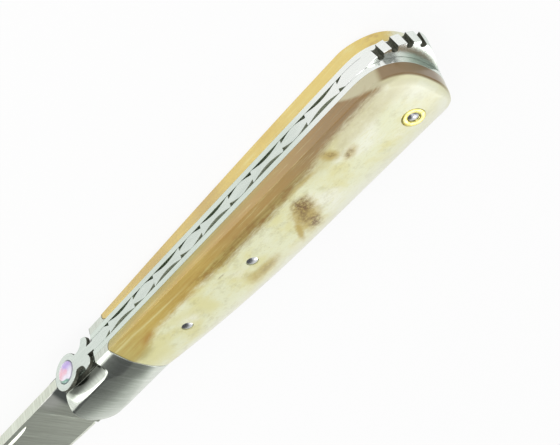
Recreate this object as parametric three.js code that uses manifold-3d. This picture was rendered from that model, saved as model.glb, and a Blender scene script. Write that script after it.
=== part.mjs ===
// Folding pocket knife, shown open: a slip-joint knife with a bee-headed, file-worked back spring,
// steel front bolsters and bone scales. Millimetres.
//
// While it is built, x runs along the handle towards the butt from the first notch of the file
// work, y points out of the handle's back, where the spring's top lies at y = 0, and z runs
// through the thickness from the middle of the blade, with the mark side up. At the end the
// finished knife is moved so that its origin is under the middle of its box, on the flat face
// that it lies on. A depth is measured from the back towards the belly, so it lies at minus y.

import * as THREE from 'three';
import { mergeVertices } from 'three/addons/utils/BufferGeometryUtils.js';
import Module from 'manifold-3d';

const wasm = await Module();
wasm.setup();

// Thickness of the stack
const springThickness = 3.0;
const linerThickness = 1.35;
const scaleThickness = 3.65;
const bladeSideClearance = 0.06;
const armSideClearance = 0.06;
const pinClearance = 0.05;
const pinEndInset = 0.1;

// Handle outline
const jointX = -1.8;
const buttX = 90.6;
const bolsterDepth = 16.7;
const handleDepth = 20.3;
const bellyPeakX = 50;
const bellySwell = 2.2;
const buttCornerRadius = 11;
const buttCornerPower = 2.5;
const bolsterFrontX = -27.4;
const bolsterFrontReach = 11;
const bolsterFrontDepth = 12;
const bolsterFrontPower = 1.7;
const bolsterChinReach = 5.4;
const bolsterChinPower = 2.4;

// Cross section of a bolster and a scale
const backWallHeight = 1.9;
const backWallRise = 1.55;
const backWallRisePower = 1.6;
const backWallFullX = 70;
const crownStartDepth = 6.2;
const crownStartPower = 1.3;
const crownEndMargin = 8.0;
const bellyWallHeight = 0.5;
const bolsterTaperStartX = -4;
const bolsterTaperDrop = 2.6;
const bolsterTaperPower = 2.2;
const buttRoundStartX = 84.5;
const buttRoundDrop = 1.5;
const buttRoundMargin = 0.2;

// Hollow filed into the bolsters and liners under the bee
const hollowEndX = -6.8;
const hollowDepth = 2.1;
const hollowCornerRadius = 1.6;
const hollowRiseX = -14.5;
const hollowFrontDepth = 1.1;
const hollowRoundFloor = 0.1;
const hollowRoundWidth = 3.0;
const hollowRoundSpread = 0.2;
const hollowRoundPower = 2.2;
const hollowRoundShare = 0.9;

// Pivot and blade
const pivotX = -19;
const pivotDepth = 10.3;
const pivotPinDiameter = 3.4;
const tangClearance = 0.1;
const shoulderClearance = 0.08;
const bladeReach = 95.5;
const bladeTipDepth = 6.2;
const bladePointHeight = 0.25;
const bladeDropStartX = -62;
const bladeDropPower = 1.8;
const bladeBellyStartX = -66;
const bladeBellyPower = 2.3;
const bladeEdgeDepth = 17.5;
const bladeEdgeRise = 1.6;
const bladeEdgeThickness = 0.24;
const bladeTipThickness = 0.9;
const bladeTaperPower = 1.3;
const edgeBevelHeight = 0.9;
const edgeBevelShare = 0.3;
const edgeBevelPosition = 0.12;
const edgeBevelSwell = 0.16;
const plungeX = -30.3;
const plungeLength = 1.2;
const kickDepth = 16.6;
const kickX = -31.3;
const tangBellyReach = 4;
const choilRadius = 0.75;
const nailNickX = -43;
const nailNickLength = 12;
const nailNickHeight = 1.5;
const nailNickDepth = 1.9;
const nailNickCut = 0.4;

// Back spring
const springNoseDepth = 3.45;
const springRearDepth = 4.6;
const springRearX = 68;
const springPinX = 27;
const springPinDepth = 2.7;
const springPinDiameter = 2.0;
const springEyeGap = 0.15;
const buttBlockX = 79.6;
const buttBlockCornerRadius = 3;
const buttBlockMargin = 1.2;

// File work on the spring's top
const filePeriod = 17.05;
const fileCount = 5;
const waistLength = 9.5;
const waistCut = 0.85;
const beadCut = 0.95;
const beadPower = 1.4;
const endWedgeLength = 1.8;
const fileDepth = 1.5;

// Crest filed at the end of the spring, round the butt
const crestHeight = 4.0;
const crestPeakAngle = THREE.MathUtils.degToRad(17);
const crestStartAngle = THREE.MathUtils.degToRad(64);
const crestEndAngle = THREE.MathUtils.degToRad(-24);
const crestNotchAngles = [48.6, 36.7, 25.3, 15.0].map(THREE.MathUtils.degToRad);
const crestNotchWidth = 1.25;
const crestNotchDepth = 1.2;
const crestNotchSlant = THREE.MathUtils.degToRad(16);

// Bee at the spring's nose
const beeDiscX = -17.2;
const beeDiscDiameter = 8.5;
const beeTop = 0.2;
const beeThickness = 1.0;
const beeWaist = 2.1;
const beeWaistReach = 2.2;
const beeWaistHollow = 0.35;
const beeWingSpan = 8.3;
const beeWingX = -9.9;
const beeWingRootReach = 1.3;
const beeWingRootRise = 0.3;
const beeWingBow = 0.6;
const beeWingShoulder = 1.1;
const beeWingTipRound = 0.3;
const beeWingEndX = -8.1;
const beeWingHeel = 1.9;
const beeWingHeelBow = 0.2;
const beeNeckWidth = 2.1;
const beeNeckOverlap = 0.5;
const beeNeckReach = 0.6;
const beeNeckFillet = 0.5;
const beeNeckFilletBow = 0.1;
const noseOverhang = 0.1;
const collarX = -6.5;
const opalDiameter = 5.2;
const opalHeight = 0.9;
const opalSeatDepth = 0.6;
const opalClearance = 0.05;

// Pins and rosettes
const scalePinDiameter = 2.6;
const frontScalePinX = 13.0;
const middleScalePinX = 35.9;
const scalePinDepth = 10.0;
const buttPinX = 81.9;
const buttPinDepth = 13.2;
const buttPinDiameter = 2.2;
const rosetteDiameter = 4.8;
const rosetteThickness = 1.2;
const rosetteClearance = 0.05;

// How far a cutting body stands past what it cuts, and how close two cuts may come
const overcut = 2;
const far = 200;
const cutSpacing = 1e-3;
const joinOverlap = 0.01;

// Faces round a pin, a bore or the bee's stone
const roundFaces = 32;
const stoneFaces = 40;
const notchFaces = 16;

// Worked out from the sizes above
const bladeInside = springThickness / 2;
const linerOutside = bladeInside + linerThickness;
const crownTop = linerOutside + scaleThickness;
const bladeHalf = bladeInside - bladeSideClearance;
const armHalf = bladeInside - armSideClearance;
const springEyeRadius = springPinDepth;
const springMiddleDepth = springPinDepth + springEyeRadius;
const tangRadius = pivotDepth - springNoseDepth - tangClearance;
const noseX = beeDiscX - beeDiscDiameter / 2 - noseOverhang;
const shoulderX = noseX - shoulderClearance;
const bladeTipX = pivotX - bladeReach;
const bladeHeelX = kickX - 2 * choilRadius;
const beeBottom = beeTop - beeThickness;
const buttCentreX = buttX - buttCornerRadius;
const buttCentreDepth = handleDepth / 2;

const steel = { color: 0xb9bdb6, roughness: 0.28, metalness: 1.0 };
const brushedSteel = { color: 0x9ca198, roughness: 0.42, metalness: 1.0 };
const bone = { color: 0xe6deb4, roughness: 0.36, metalness: 0.0 };
const brass = { color: 0xe0c045, roughness: 0.25, metalness: 1.0 };
const opal = { color: 0xd9c6e8, roughness: 0.12, metalness: 0.0 };

/** Turns a closed geometry into a solid for the boolean steps. */
function solid(geometry) {
  const shell = geometry.clone();
  shell.deleteAttribute('normal');
  shell.deleteAttribute('uv');
  const merged = mergeVertices(shell, 1e-4);
  return new wasm.Manifold(new wasm.Mesh({
    numProp: 3,
    vertProperties: Float32Array.from(merged.attributes.position.array),
    triVerts: Uint32Array.from(merged.index.array),
  }));
}

/** Turns a solid back into a geometry. */
function geometryOf(body) {
  const mesh = body.getMesh();
  const geometry = new THREE.BufferGeometry();
  geometry.setAttribute('position', new THREE.BufferAttribute(mesh.vertProperties, 3));
  geometry.setIndex(new THREE.BufferAttribute(mesh.triVerts, 1));
  geometry.computeVertexNormals();
  return geometry;
}

/** Mirrors a geometry to the other side of the blade's middle plane. */
function toPileSide(geometry) {
  const mirrored = geometry.clone();
  mirrored.scale(1, 1, -1);
  const index = Array.from(mirrored.index.array);
  for (let i = 0; i < index.length; i += 3) {
    [index[i], index[i + 1]] = [index[i + 1], index[i]];
  }
  mirrored.setIndex(index);
  mirrored.computeVertexNormals();
  return mirrored;
}

/** Names a piece and gives it its finish. */
function piece(name, geometry, finish) {
  const mesh = new THREE.Mesh(geometry, new THREE.MeshStandardMaterial(finish));
  mesh.name = name;
  return mesh;
}

/** Extrudes an outline drawn in x and y from one height to another. */
function plate(shape, zLow, zHigh, curveSegments = 12) {
  const geometry = new THREE.ExtrudeGeometry(shape, {
    depth: zHigh - zLow,
    bevelEnabled: false,
    curveSegments,
  });
  geometry.translate(0, 0, zLow);
  return geometry;
}

/** Extrudes an outline drawn in x and z from one y to another. */
function topPlate(shape, yLow, yHigh, curveSegments = 12) {
  const geometry = plate(shape, -yHigh, -yLow, curveSegments);
  geometry.rotateX(Math.PI / 2);
  return geometry;
}

/** A round pin or bore along z. */
function rod(x, depth, diameter, zLow, zHigh) {
  const geometry = new THREE.CylinderGeometry(
    diameter / 2, diameter / 2, zHigh - zLow, roundFaces);
  geometry.rotateX(Math.PI / 2);
  geometry.translate(x, -depth, (zLow + zHigh) / 2);
  return geometry;
}

/** A box from its two corners. */
function block(low, high) {
  const size = high.map((value, axis) => value - low[axis]);
  const geometry = new THREE.BoxGeometry(...size);
  geometry.translate(...high.map((value, axis) => (value + low[axis]) / 2));
  return geometry;
}

/** Skins a row of rings, each with the same number of points, and closes both ends. */
function loft(rings) {
  const count = rings[0].length;
  const positions = rings.flat().flatMap((point) => point.toArray());
  const index = [];
  for (let ring = 0; ring + 1 < rings.length; ring += 1) {
    for (let i = 0; i < count; i += 1) {
      const a = ring * count + i;
      const b = ring * count + (i + 1) % count;
      index.push(a, a + count, b, b, a + count, b + count);
    }
  }
  for (const [ring, forward] of [[0, true], [rings.length - 1, false]]) {
    const outline = rings[ring].map((point) => new THREE.Vector2(point.y, point.z));
    for (const [a, b, c] of THREE.ShapeUtils.triangulateShape(outline, [])) {
      const face = forward ? [a, b, c] : [a, c, b];
      index.push(...face.map((corner) => ring * count + corner));
    }
  }
  const geometry = new THREE.BufferGeometry();
  geometry.setAttribute('position', new THREE.Float32BufferAttribute(positions, 3));
  geometry.setIndex(index);
  return outward(geometry);
}

/** Turns a closed geometry's faces over if they point in. */
function outward(geometry) {
  const position = geometry.attributes.position;
  const index = Array.from(geometry.index.array);
  const corner = [new THREE.Vector3(), new THREE.Vector3(), new THREE.Vector3()];
  let volume = 0;
  for (let i = 0; i < index.length; i += 3) {
    corner.forEach((point, k) => point.fromBufferAttribute(position, index[i + k]));
    volume += corner[0].dot(corner[1].clone().cross(corner[2])) / 6;
  }
  if (volume < 0) {
    for (let i = 0; i < index.length; i += 3) {
      [index[i], index[i + 1]] = [index[i + 1], index[i]];
    }
    geometry.setIndex(index);
  }
  return geometry;
}

/** A quarter of a rounded corner, from its first angle to its last. */
function corner(centreX, centreY, reachX, reachY, power, startAngle, endAngle, steps = 14) {
  const points = [];
  for (let i = 0; i <= steps; i += 1) {
    const angle = THREE.MathUtils.lerp(startAngle, endAngle, i / steps);
    const c = Math.cos(angle);
    const s = Math.sin(angle);
    points.push(new THREE.Vector2(
      centreX + reachX * Math.sign(c) * Math.abs(c) ** (2 / power),
      centreY + reachY * Math.sign(s) * Math.abs(s) ** (2 / power),
    ));
  }
  return points;
}

/** How deep the handle is below its back, along its length. */
function bellyDepth(x) {
  const share = THREE.MathUtils.clamp((x - jointX) / (bellyPeakX - jointX), 0, 1);
  return bolsterDepth + (handleDepth - bolsterDepth) * (1 - (1 - share) ** bellySwell);
}

/** How far the handle's butt lies from the middle of its round, at an angle above the x axis. */
function buttRadius(angle) {
  const c = Math.abs(Math.cos(angle)) / buttCornerRadius;
  const s = Math.abs(Math.sin(angle)) / buttCentreDepth;
  return (c ** buttCornerPower + s ** buttCornerPower) ** (-1 / buttCornerPower);
}

/** The handle's outline seen from the side, shared by the liners, the bolsters and the scales. */
function handleShape() {
  const quarter = Math.PI / 2;
  const frontCentreX = bolsterFrontX + bolsterFrontReach;
  const chinCentreX = bolsterFrontX + bolsterChinReach;
  const chinHeight = bolsterDepth - bolsterFrontDepth;
  const points = [
    ...corner(buttCentreX, -buttCentreDepth, buttCornerRadius, buttCentreDepth,
      buttCornerPower, quarter, -quarter, 36),
  ];
  const bellySteps = 16;
  for (let i = 1; i < bellySteps; i += 1) {
    const x = THREE.MathUtils.lerp(buttCentreX, jointX, i / bellySteps);
    points.push(new THREE.Vector2(x, -bellyDepth(x)));
  }
  points.push(...corner(chinCentreX, -bolsterFrontDepth, bolsterChinReach, chinHeight,
    bolsterChinPower, -quarter, -2 * quarter, 10));
  points.push(...corner(frontCentreX, -bolsterFrontDepth, bolsterFrontReach, bolsterFrontDepth,
    bolsterFrontPower, 2 * quarter, quarter, 14).slice(1));
  return new THREE.Shape(points);
}

/** How high the wall along the back stands above the liner, higher towards the butt. */
function backWall(x) {
  const share = THREE.MathUtils.clamp((x - jointX) / (backWallFullX - jointX), 0, 1);
  return backWallHeight + backWallRise * (1 - (1 - share) ** backWallRisePower);
}

/** One cross section of a bolster and scale, as points in y and z. */
function handleSection(x) {
  const belly = bellyDepth(x);
  const crownEnd = belly - crownEndMargin;
  const ring = [[0, linerOutside]];
  const bevelSteps = 4;
  for (let i = 0; i <= bevelSteps; i += 1) {
    const share = i / bevelSteps;
    const drop = (scaleThickness - backWall(x)) * (1 - share) ** crownStartPower;
    ring.push([-crownStartDepth * share, crownTop - drop]);
  }
  ring.push([-crownEnd, crownTop]);
  const roundSteps = 7;
  for (let i = 1; i <= roundSteps; i += 1) {
    const angle = (i / roundSteps) * (Math.PI / 2);
    ring.push([
      -crownEnd - crownEndMargin * Math.sin(angle),
      linerOutside + bellyWallHeight + (scaleThickness - bellyWallHeight) * Math.cos(angle),
    ]);
  }
  ring.push([-belly, linerOutside]);
  return ring.map(([y, z]) => new THREE.Vector3(x, y, z));
}

/** How high the bolster's crown stands along its length, lower towards the front. */
function taperTop(x) {
  const frontX = bolsterFrontX - overcut / 2;
  const share = THREE.MathUtils.clamp(
    (bolsterTaperStartX - x) / (bolsterTaperStartX - frontX), 0, 1);
  return crownTop - bolsterTaperDrop * share ** bolsterTaperPower;
}

/** The side profile that thins the bolster to the front and rounds the butt, in x and z. */
function thicknessProfile() {
  const shape = new THREE.Shape();
  const frontX = bolsterFrontX - overcut / 2;
  const endX = buttX + buttRoundMargin;
  const steps = 10;
  shape.moveTo(frontX, linerOutside);
  for (let i = steps; i >= 0; i -= 1) {
    const x = THREE.MathUtils.lerp(bolsterTaperStartX, frontX, i / steps);
    shape.lineTo(x, taperTop(x));
  }
  for (let i = 0; i <= steps; i += 1) {
    const angle = (i / steps) * (Math.PI / 2);
    shape.lineTo(
      buttRoundStartX + (endX - buttRoundStartX) * Math.sin(angle),
      crownTop - buttRoundDrop * (1 - Math.cos(angle)),
    );
  }
  shape.lineTo(endX, linerOutside);
  return shape;
}

/** Bolster and scale together on the mark side, before they are parted at the joint. */
function handleSide() {
  const rings = [];
  const stations = 22;
  for (let i = 0; i <= stations; i += 1) {
    rings.push(handleSection(
      THREE.MathUtils.lerp(bolsterFrontX - overcut, buttX + overcut, i / stations)));
  }
  const outline = solid(plate(handleShape(), linerOutside, crownTop + overcut));
  const profile = solid(topPlate(thicknessProfile(), -handleDepth - overcut, overcut));
  return solid(loft(rings)).intersect(outline).intersect(profile);
}

/** The hollow under the bee, cut into everything above its floor. */
function beeHollow() {
  const frontX = bolsterFrontX - overcut;
  const shape = new THREE.Shape();
  shape.moveTo(frontX, -hollowFrontDepth);
  shape.lineTo(noseX, -hollowFrontDepth);
  shape.quadraticCurveTo((noseX + hollowRiseX) / 2, -hollowDepth, hollowRiseX, -hollowDepth);
  shape.lineTo(hollowEndX - hollowCornerRadius, -hollowDepth);
  shape.absarc(hollowEndX - hollowCornerRadius, -hollowDepth + hollowCornerRadius,
    hollowCornerRadius, -Math.PI / 2, 0, false);
  shape.lineTo(hollowEndX, far);
  shape.lineTo(frontX, far);
  return solid(plate(shape, 0, far, 8));
}

/** How deep the bolster's upper edge lies in front of the hollow's end. */
function hollowEdgeDepth(x) {
  const rise = THREE.MathUtils.clamp((hollowRiseX - x) / (hollowRiseX - noseX), 0, 1);
  const floor = hollowDepth - (hollowDepth - hollowFrontDepth) * rise ** 2;
  const across = THREE.MathUtils.clamp(
    (bolsterFrontX + bolsterFrontReach - x) / bolsterFrontReach, 0, 1);
  const front = bolsterFrontDepth
    * (1 - (1 - across ** bolsterFrontPower) ** (1 / bolsterFrontPower));
  return Math.max(floor, front);
}

/** What rounds the bolster's upper edge over to the hollow, wider towards the front. */
function hollowRound() {
  const low = linerOutside + hollowRoundFloor;
  const rings = [];
  const stations = 12;
  const curveSteps = 6;
  for (let i = 0; i <= stations; i += 1) {
    const x = THREE.MathUtils.lerp(bolsterFrontX - overcut, hollowEndX, i / stations);
    const edge = hollowEdgeDepth(x);
    const width = hollowRoundWidth + hollowRoundSpread * (hollowEndX - x);
    const ring = [[overcut, low], [overcut, far], [-edge - width * hollowRoundShare, far]];
    for (let k = curveSteps; k >= 0; k -= 1) {
      const share = hollowRoundShare * (k / curveSteps);
      const height = 1 - (1 - share) ** hollowRoundPower;
      ring.push([-edge - width * share, low + (taperTop(x) - low) * height]);
    }
    rings.push(ring.map(([y, z]) => new THREE.Vector3(x, y, z)));
  }
  return solid(loft(rings));
}

/** A liner plate of the mark side. */
function liner() {
  return [
    [pivotX, pivotDepth, pivotPinDiameter],
    [springPinX, springPinDepth, springPinDiameter],
    [frontScalePinX, scalePinDepth, scalePinDiameter],
    [middleScalePinX, scalePinDepth, scalePinDiameter],
    [buttPinX, buttPinDepth, buttPinDiameter],
  ].reduce(
    (body, [x, depth, diameter]) => body.subtract(
      solid(rod(x, depth, diameter + 2 * pinClearance, 0, crownTop)),
    ),
    solid(plate(handleShape(), bladeInside, linerOutside)).subtract(beeHollow()),
  );
}

/** The bolster of the mark side. */
function bolster(side) {
  return side
    .intersect(solid(block([-far, -far, -far], [jointX, far, far])))
    .subtract(beeHollow())
    .subtract(hollowRound())
    .subtract(solid(rod(pivotX, pivotDepth, pivotPinDiameter + 2 * pinClearance, 0, far)));
}

/** The bone scale of the mark side. */
function scale(side) {
  const bores = [
    [frontScalePinX, scalePinDepth, scalePinDiameter + 2 * pinClearance, 0],
    [middleScalePinX, scalePinDepth, scalePinDiameter + 2 * pinClearance, 0],
    [buttPinX, buttPinDepth, buttPinDiameter + 2 * pinClearance, 0],
    [buttPinX, buttPinDepth, rosetteDiameter + 2 * rosetteClearance, crownTop - rosetteThickness],
  ];
  return bores.reduce(
    (body, [x, depth, diameter, zLow]) => body.subtract(solid(rod(x, depth, diameter, zLow, far))),
    side.intersect(solid(block([jointX, -far, -far], [far, far, far]))),
  );
}

/** The pivot pin, its ends finished flush with the bolsters. */
function pivotPin(side) {
  const half = solid(rod(pivotX, pivotDepth, pivotPinDiameter, 0, far));
  const outer = geometryOf(half.intersect(side));
  const core = solid(rod(pivotX, pivotDepth, pivotPinDiameter, -linerOutside, linerOutside));
  return core.add(solid(outer)).add(solid(toPileSide(outer)));
}

/** A rosette: a flat ring let into the scale round the butt pin. */
function rosette() {
  return solid(rod(buttPinX, buttPinDepth, rosetteDiameter, crownTop - rosetteThickness, crownTop))
    .subtract(solid(rod(buttPinX, buttPinDepth, buttPinDiameter + 2 * pinClearance, 0, far)));
}

/** Half the file-worked spring's width at a place along it. */
function fileWorkHalfWidth(x) {
  const lastX = (fileCount - 1) * filePeriod + waistLength;
  if (x < -endWedgeLength || x > lastX + endWedgeLength) {
    return bladeInside;
  }
  if (x < 0) {
    return bladeInside - beadCut * (1 + x / endWedgeLength);
  }
  if (x > lastX) {
    return bladeInside - beadCut * (1 - (x - lastX) / endWedgeLength);
  }
  const along = x % filePeriod;
  if (along < waistLength) {
    return bladeInside - waistCut * Math.sin((Math.PI * along) / waistLength);
  }
  const bead = ((along - waistLength) / (filePeriod - waistLength)) * 2 - 1;
  return bladeInside - beadCut * Math.abs(bead) ** beadPower;
}

/** The hollows of the file work between two places, as a solid to cut from one side. */
function fileWorkCut(fromX, toX, steps) {
  const outside = bladeInside + overcut;
  const shape = new THREE.Shape();
  shape.moveTo(fromX + cutSpacing, outside);
  for (let i = 0; i <= steps; i += 1) {
    const x = THREE.MathUtils.lerp(fromX + cutSpacing, toX - cutSpacing, i / steps);
    shape.lineTo(x, fileWorkHalfWidth(x));
  }
  shape.lineTo(toX - cutSpacing, outside);
  return topPlate(shape, -fileDepth, overcut);
}

/** Cuts both sides of the file work into a length of the spring. */
function withFileWork(body) {
  const lastX = (fileCount - 1) * filePeriod + waistLength;
  const spans = [[-endWedgeLength, 0, 1], [lastX, lastX + endWedgeLength, 1]];
  for (let i = 0; i < fileCount; i += 1) {
    spans.push([i * filePeriod, i * filePeriod + waistLength, 14]);
    if (i + 1 < fileCount) {
      spans.push([i * filePeriod + waistLength, (i + 1) * filePeriod, 12]);
    }
  }
  return spans.reduce((cut, [fromX, toX, steps]) => {
    const hollow = geometryOf(solid(fileWorkCut(fromX, toX, steps)));
    return cut.subtract(solid(hollow)).subtract(solid(toPileSide(hollow)));
  }, body);
}

/** The bee's outline seen from above: the disc, the waist, the two wings and the neck. */
function beeShape() {
  const radius = beeDiscDiameter / 2;
  const joinX = beeDiscX + Math.sqrt(radius ** 2 - beeWaist ** 2);
  const joinAngle = Math.asin(beeWaist / radius);
  const wing = beeWingSpan / 2;
  const neck = beeNeckWidth / 2;
  const tipX = beeWingX - beeWingTipRound;
  const root = [beeWingX - beeWingRootReach, beeWaist + beeWingRootRise];
  const heel = [beeWingEndX, wing - beeWingHeel];
  const armpit = [beeWingEndX - beeNeckReach, neck];
  const waistBow = [beeWingX - beeWaistReach, beeWaist - beeWaistHollow];
  const shoulderBow = [beeWingX - beeWingBow, wing - beeWingShoulder];
  const heelBow = [beeWingEndX + beeWingHeelBow, wing - beeWingTipRound];
  const neckBow = [beeWingEndX - beeNeckFilletBow, neck + beeNeckFillet];
  const shape = new THREE.Shape();
  const curve = (bow, end, sign) => {
    shape.quadraticCurveTo(bow[0], sign * bow[1], end[0], sign * end[1]);
  };
  shape.moveTo(joinX, beeWaist);
  shape.absarc(beeDiscX, 0, radius, joinAngle, 2 * Math.PI - joinAngle, false);
  curve(waistBow, root, -1);
  curve(shoulderBow, [tipX, wing], -1);
  curve(heelBow, heel, -1);
  curve(neckBow, armpit, -1);
  shape.lineTo(collarX + beeNeckOverlap, -neck);
  shape.lineTo(collarX + beeNeckOverlap, neck);
  shape.lineTo(...armpit);
  curve(neckBow, heel, 1);
  curve(heelBow, [tipX, wing], 1);
  curve(shoulderBow, root, 1);
  curve(waistBow, [joinX, beeWaist], 1);
  return shape;
}

/** The spring's front arm: nose, bee, collar, file work and the eye on the spring pin. */
function springArm() {
  const shape = new THREE.Shape();
  shape.moveTo(noseX, -springNoseDepth);
  shape.lineTo(collarX, -springNoseDepth);
  shape.quadraticCurveTo(springPinX / 2, -springNoseDepth, springPinX, -springMiddleDepth);
  shape.absarc(springPinX, -springPinDepth, springEyeRadius, -Math.PI / 2, Math.PI / 2, false);
  shape.lineTo(noseX, 0);
  const bar = solid(plate(shape, -armHalf, armHalf, 10));
  const besideNeck = beeNeckWidth / 2;
  const noseStep = [
    block([-far, beeBottom, -far], [collarX, far, -besideNeck]),
    block([-far, beeBottom, besideNeck], [collarX, far, far]),
  ].reduce((body, cut) => body.subtract(solid(cut)), bar);
  const seat = new THREE.CylinderGeometry(
    opalDiameter / 2, opalDiameter / 2, 2 * overcut, stoneFaces);
  seat.translate(beeDiscX, beeTop - opalSeatDepth + overcut, 0);
  const bore = rod(springPinX, springPinDepth, springPinDiameter + 2 * pinClearance, -far, far);
  return withFileWork(noseStep)
    .add(solid(topPlate(beeShape(), beeBottom, beeTop, 14)))
    .subtract(solid(seat))
    .subtract(solid(bore));
}

/** The opal cabochon, domed over its seat in the bee's disc. */
function opalCabochon() {
  const radius = opalDiameter / 2 - opalClearance;
  const bottom = beeTop - opalSeatDepth + opalClearance;
  const girdle = beeTop;
  const profile = [new THREE.Vector2(0, bottom), new THREE.Vector2(radius, bottom)];
  const steps = 8;
  for (let i = 0; i <= steps; i += 1) {
    const angle = (i / steps) * (Math.PI / 2);
    profile.push(new THREE.Vector2(
      i === steps ? 0 : radius * Math.cos(angle),
      girdle + opalHeight * Math.sin(angle),
    ));
  }
  const geometry = new THREE.LatheGeometry(profile, stoneFaces);
  geometry.translate(beeDiscX, 0, 0);
  return solid(geometry);
}

/** How far the crest stands out of the butt's outline at an angle. */
function crestRise(angle) {
  if (angle >= crestPeakAngle) {
    const share = (crestStartAngle - angle) / (crestStartAngle - crestPeakAngle);
    return crestHeight * THREE.MathUtils.clamp(share, 0, 1);
  }
  const share = THREE.MathUtils.clamp(
    (angle - crestEndAngle) / (crestPeakAngle - crestEndAngle), 0, 1);
  return crestHeight * THREE.MathUtils.smoothstep(share, 0, 1);
}

/** The spring's rear body: file work, crest and the block that fills the butt. */
function springRearBody() {
  const quarter = Math.PI / 2;
  const centreY = -buttCentreDepth;
  const shape = new THREE.Shape();
  shape.moveTo(springPinX, 0);
  const steps = 44;
  for (let i = 0; i <= steps; i += 1) {
    const angle = THREE.MathUtils.lerp(quarter, -quarter, i / steps);
    const reach = buttRadius(angle) + crestRise(angle);
    shape.lineTo(buttCentreX + reach * Math.cos(angle), centreY + reach * Math.sin(angle));
  }
  shape.lineTo(buttBlockX, -handleDepth + buttBlockMargin);
  shape.lineTo(buttBlockX, -springRearDepth - buttBlockCornerRadius);
  shape.absarc(buttBlockX - buttBlockCornerRadius, -springRearDepth - buttBlockCornerRadius,
    buttBlockCornerRadius, 0, quarter, false);
  shape.lineTo(springRearX, -springRearDepth);
  shape.quadraticCurveTo((springRearX + springPinX) / 2, -springMiddleDepth,
    springPinX, -springMiddleDepth);
  const notches = crestNotchAngles.map((angle) => {
    const reach = buttRadius(angle) + crestRise(angle);
    const geometry = new THREE.CylinderGeometry(
      crestNotchWidth / 2, crestNotchWidth / 2, springThickness + overcut, notchFaces);
    geometry.rotateX(quarter);
    geometry.rotateY(crestNotchSlant);
    geometry.rotateZ(angle - quarter);
    const depth = reach - crestNotchDepth + crestNotchWidth / 2;
    geometry.translate(
      buttCentreX + depth * Math.cos(angle), centreY + depth * Math.sin(angle), 0);
    return geometry;
  });
  const cuts = [
    rod(springPinX, springPinDepth, 2 * (springEyeRadius + springEyeGap), -far, far),
    rod(buttPinX, buttPinDepth, buttPinDiameter + 2 * pinClearance, -far, far),
    ...notches,
  ];
  const bar = solid(plate(shape, -bladeInside, bladeInside));
  return cuts.reduce((body, cut) => body.subtract(solid(cut)), withFileWork(bar));
}

/** Depth of the blade's back below the handle's back line. */
function bladeBackDepth(x) {
  const share = THREE.MathUtils.clamp((bladeDropStartX - x) / (bladeDropStartX - bladeTipX), 0, 1);
  return bladeTipDepth * share ** bladeDropPower;
}

/** Depth of the blade's edge below the handle's back line. */
function bladeFrontDepth(x) {
  const share = THREE.MathUtils.clamp(
    (bladeBellyStartX - x) / (bladeBellyStartX - bladeTipX), 0, 1);
  const straight = THREE.MathUtils.lerp(bladeEdgeDepth, bladeEdgeDepth - bladeEdgeRise,
    THREE.MathUtils.clamp((bladeHeelX - x) / (bladeHeelX - bladeBellyStartX), 0, 1));
  const rise = 1 - Math.sqrt(Math.max(0, 1 - share ** bladeBellyPower));
  return THREE.MathUtils.lerp(straight, bladeTipDepth + bladePointHeight, rise);
}

/** The ground part of the blade, from the plunge to the tip. */
function groundBlade() {
  const stations = 30;
  const crowding = 0.75;
  const rings = [];
  for (let i = 0; i <= stations; i += 1) {
    const share = (i / stations) ** crowding;
    const x = i === 0 ? plungeX : THREE.MathUtils.lerp(plungeX - plungeLength, bladeTipX, share);
    const taper = THREE.MathUtils.clamp((plungeX - x) / (plungeX - bladeTipX), 0, 1);
    const back = THREE.MathUtils.lerp(bladeHalf, bladeTipThickness / 2, taper ** bladeTaperPower);
    const edge = i === 0 ? bladeHalf : bladeEdgeThickness / 2;
    const backY = -bladeBackDepth(x);
    const edgeY = x > kickX ? -kickDepth : -bladeFrontDepth(x);
    const bevelY = edgeY + Math.min(edgeBevelHeight, (backY - edgeY) * edgeBevelShare);
    const swell = i === 0 ? 0 : edgeBevelSwell;
    const shoulder = THREE.MathUtils.lerp(edge, back, edgeBevelPosition) + swell;
    rings.push([
      [backY, -back], [backY, back], [bevelY, shoulder], [edgeY, edge],
      [edgeY, -edge], [bevelY, -shoulder],
    ].map(([y, z]) => new THREE.Vector3(x, y, z)));
  }
  return loft(rings);
}

/** The tang and ricasso, flat on both sides. */
function tang() {
  const shape = new THREE.Shape();
  shape.moveTo(plungeX - joinOverlap, 0);
  shape.lineTo(plungeX - joinOverlap, -kickDepth);
  shape.lineTo(bolsterFrontX, -kickDepth);
  shape.quadraticCurveTo(pivotX - tangBellyReach, -kickDepth, pivotX, -pivotDepth - tangRadius);
  shape.absarc(pivotX, -pivotDepth, tangRadius, -Math.PI / 2, Math.PI / 2, false);
  shape.lineTo(shoulderX, -pivotDepth + tangRadius);
  shape.lineTo(shoulderX, 0);
  return plate(shape, -bladeHalf, bladeHalf, 20);
}

/** The nail nick, cut into the mark side of the blade. */
function nailNick() {
  const geometry = new THREE.CylinderGeometry(1, 1, 1, roundFaces);
  geometry.rotateX(Math.PI / 2);
  geometry.scale(nailNickLength / 2, nailNickHeight / 2, 2 * nailNickCut);
  geometry.translate(nailNickX, -nailNickDepth, bladeHalf);
  return geometry;
}

/** The whole blade. */
function blade() {
  const notch = rod(kickX - choilRadius, bladeEdgeDepth, 2 * choilRadius, -far, far);
  const bore = rod(pivotX, pivotDepth, pivotPinDiameter + 2 * pinClearance, -far, far);
  return solid(groundBlade())
    .add(solid(tang()))
    .subtract(solid(notch))
    .subtract(solid(bore))
    .subtract(solid(nailNick()));
}

/** Both copies of a piece that the two sides share. */
function pair(name, geometry, finish) {
  return [
    piece(`${name}_mark`, geometry, finish),
    piece(`${name}_pile`, toPileSide(geometry), finish),
  ];
}

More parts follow.
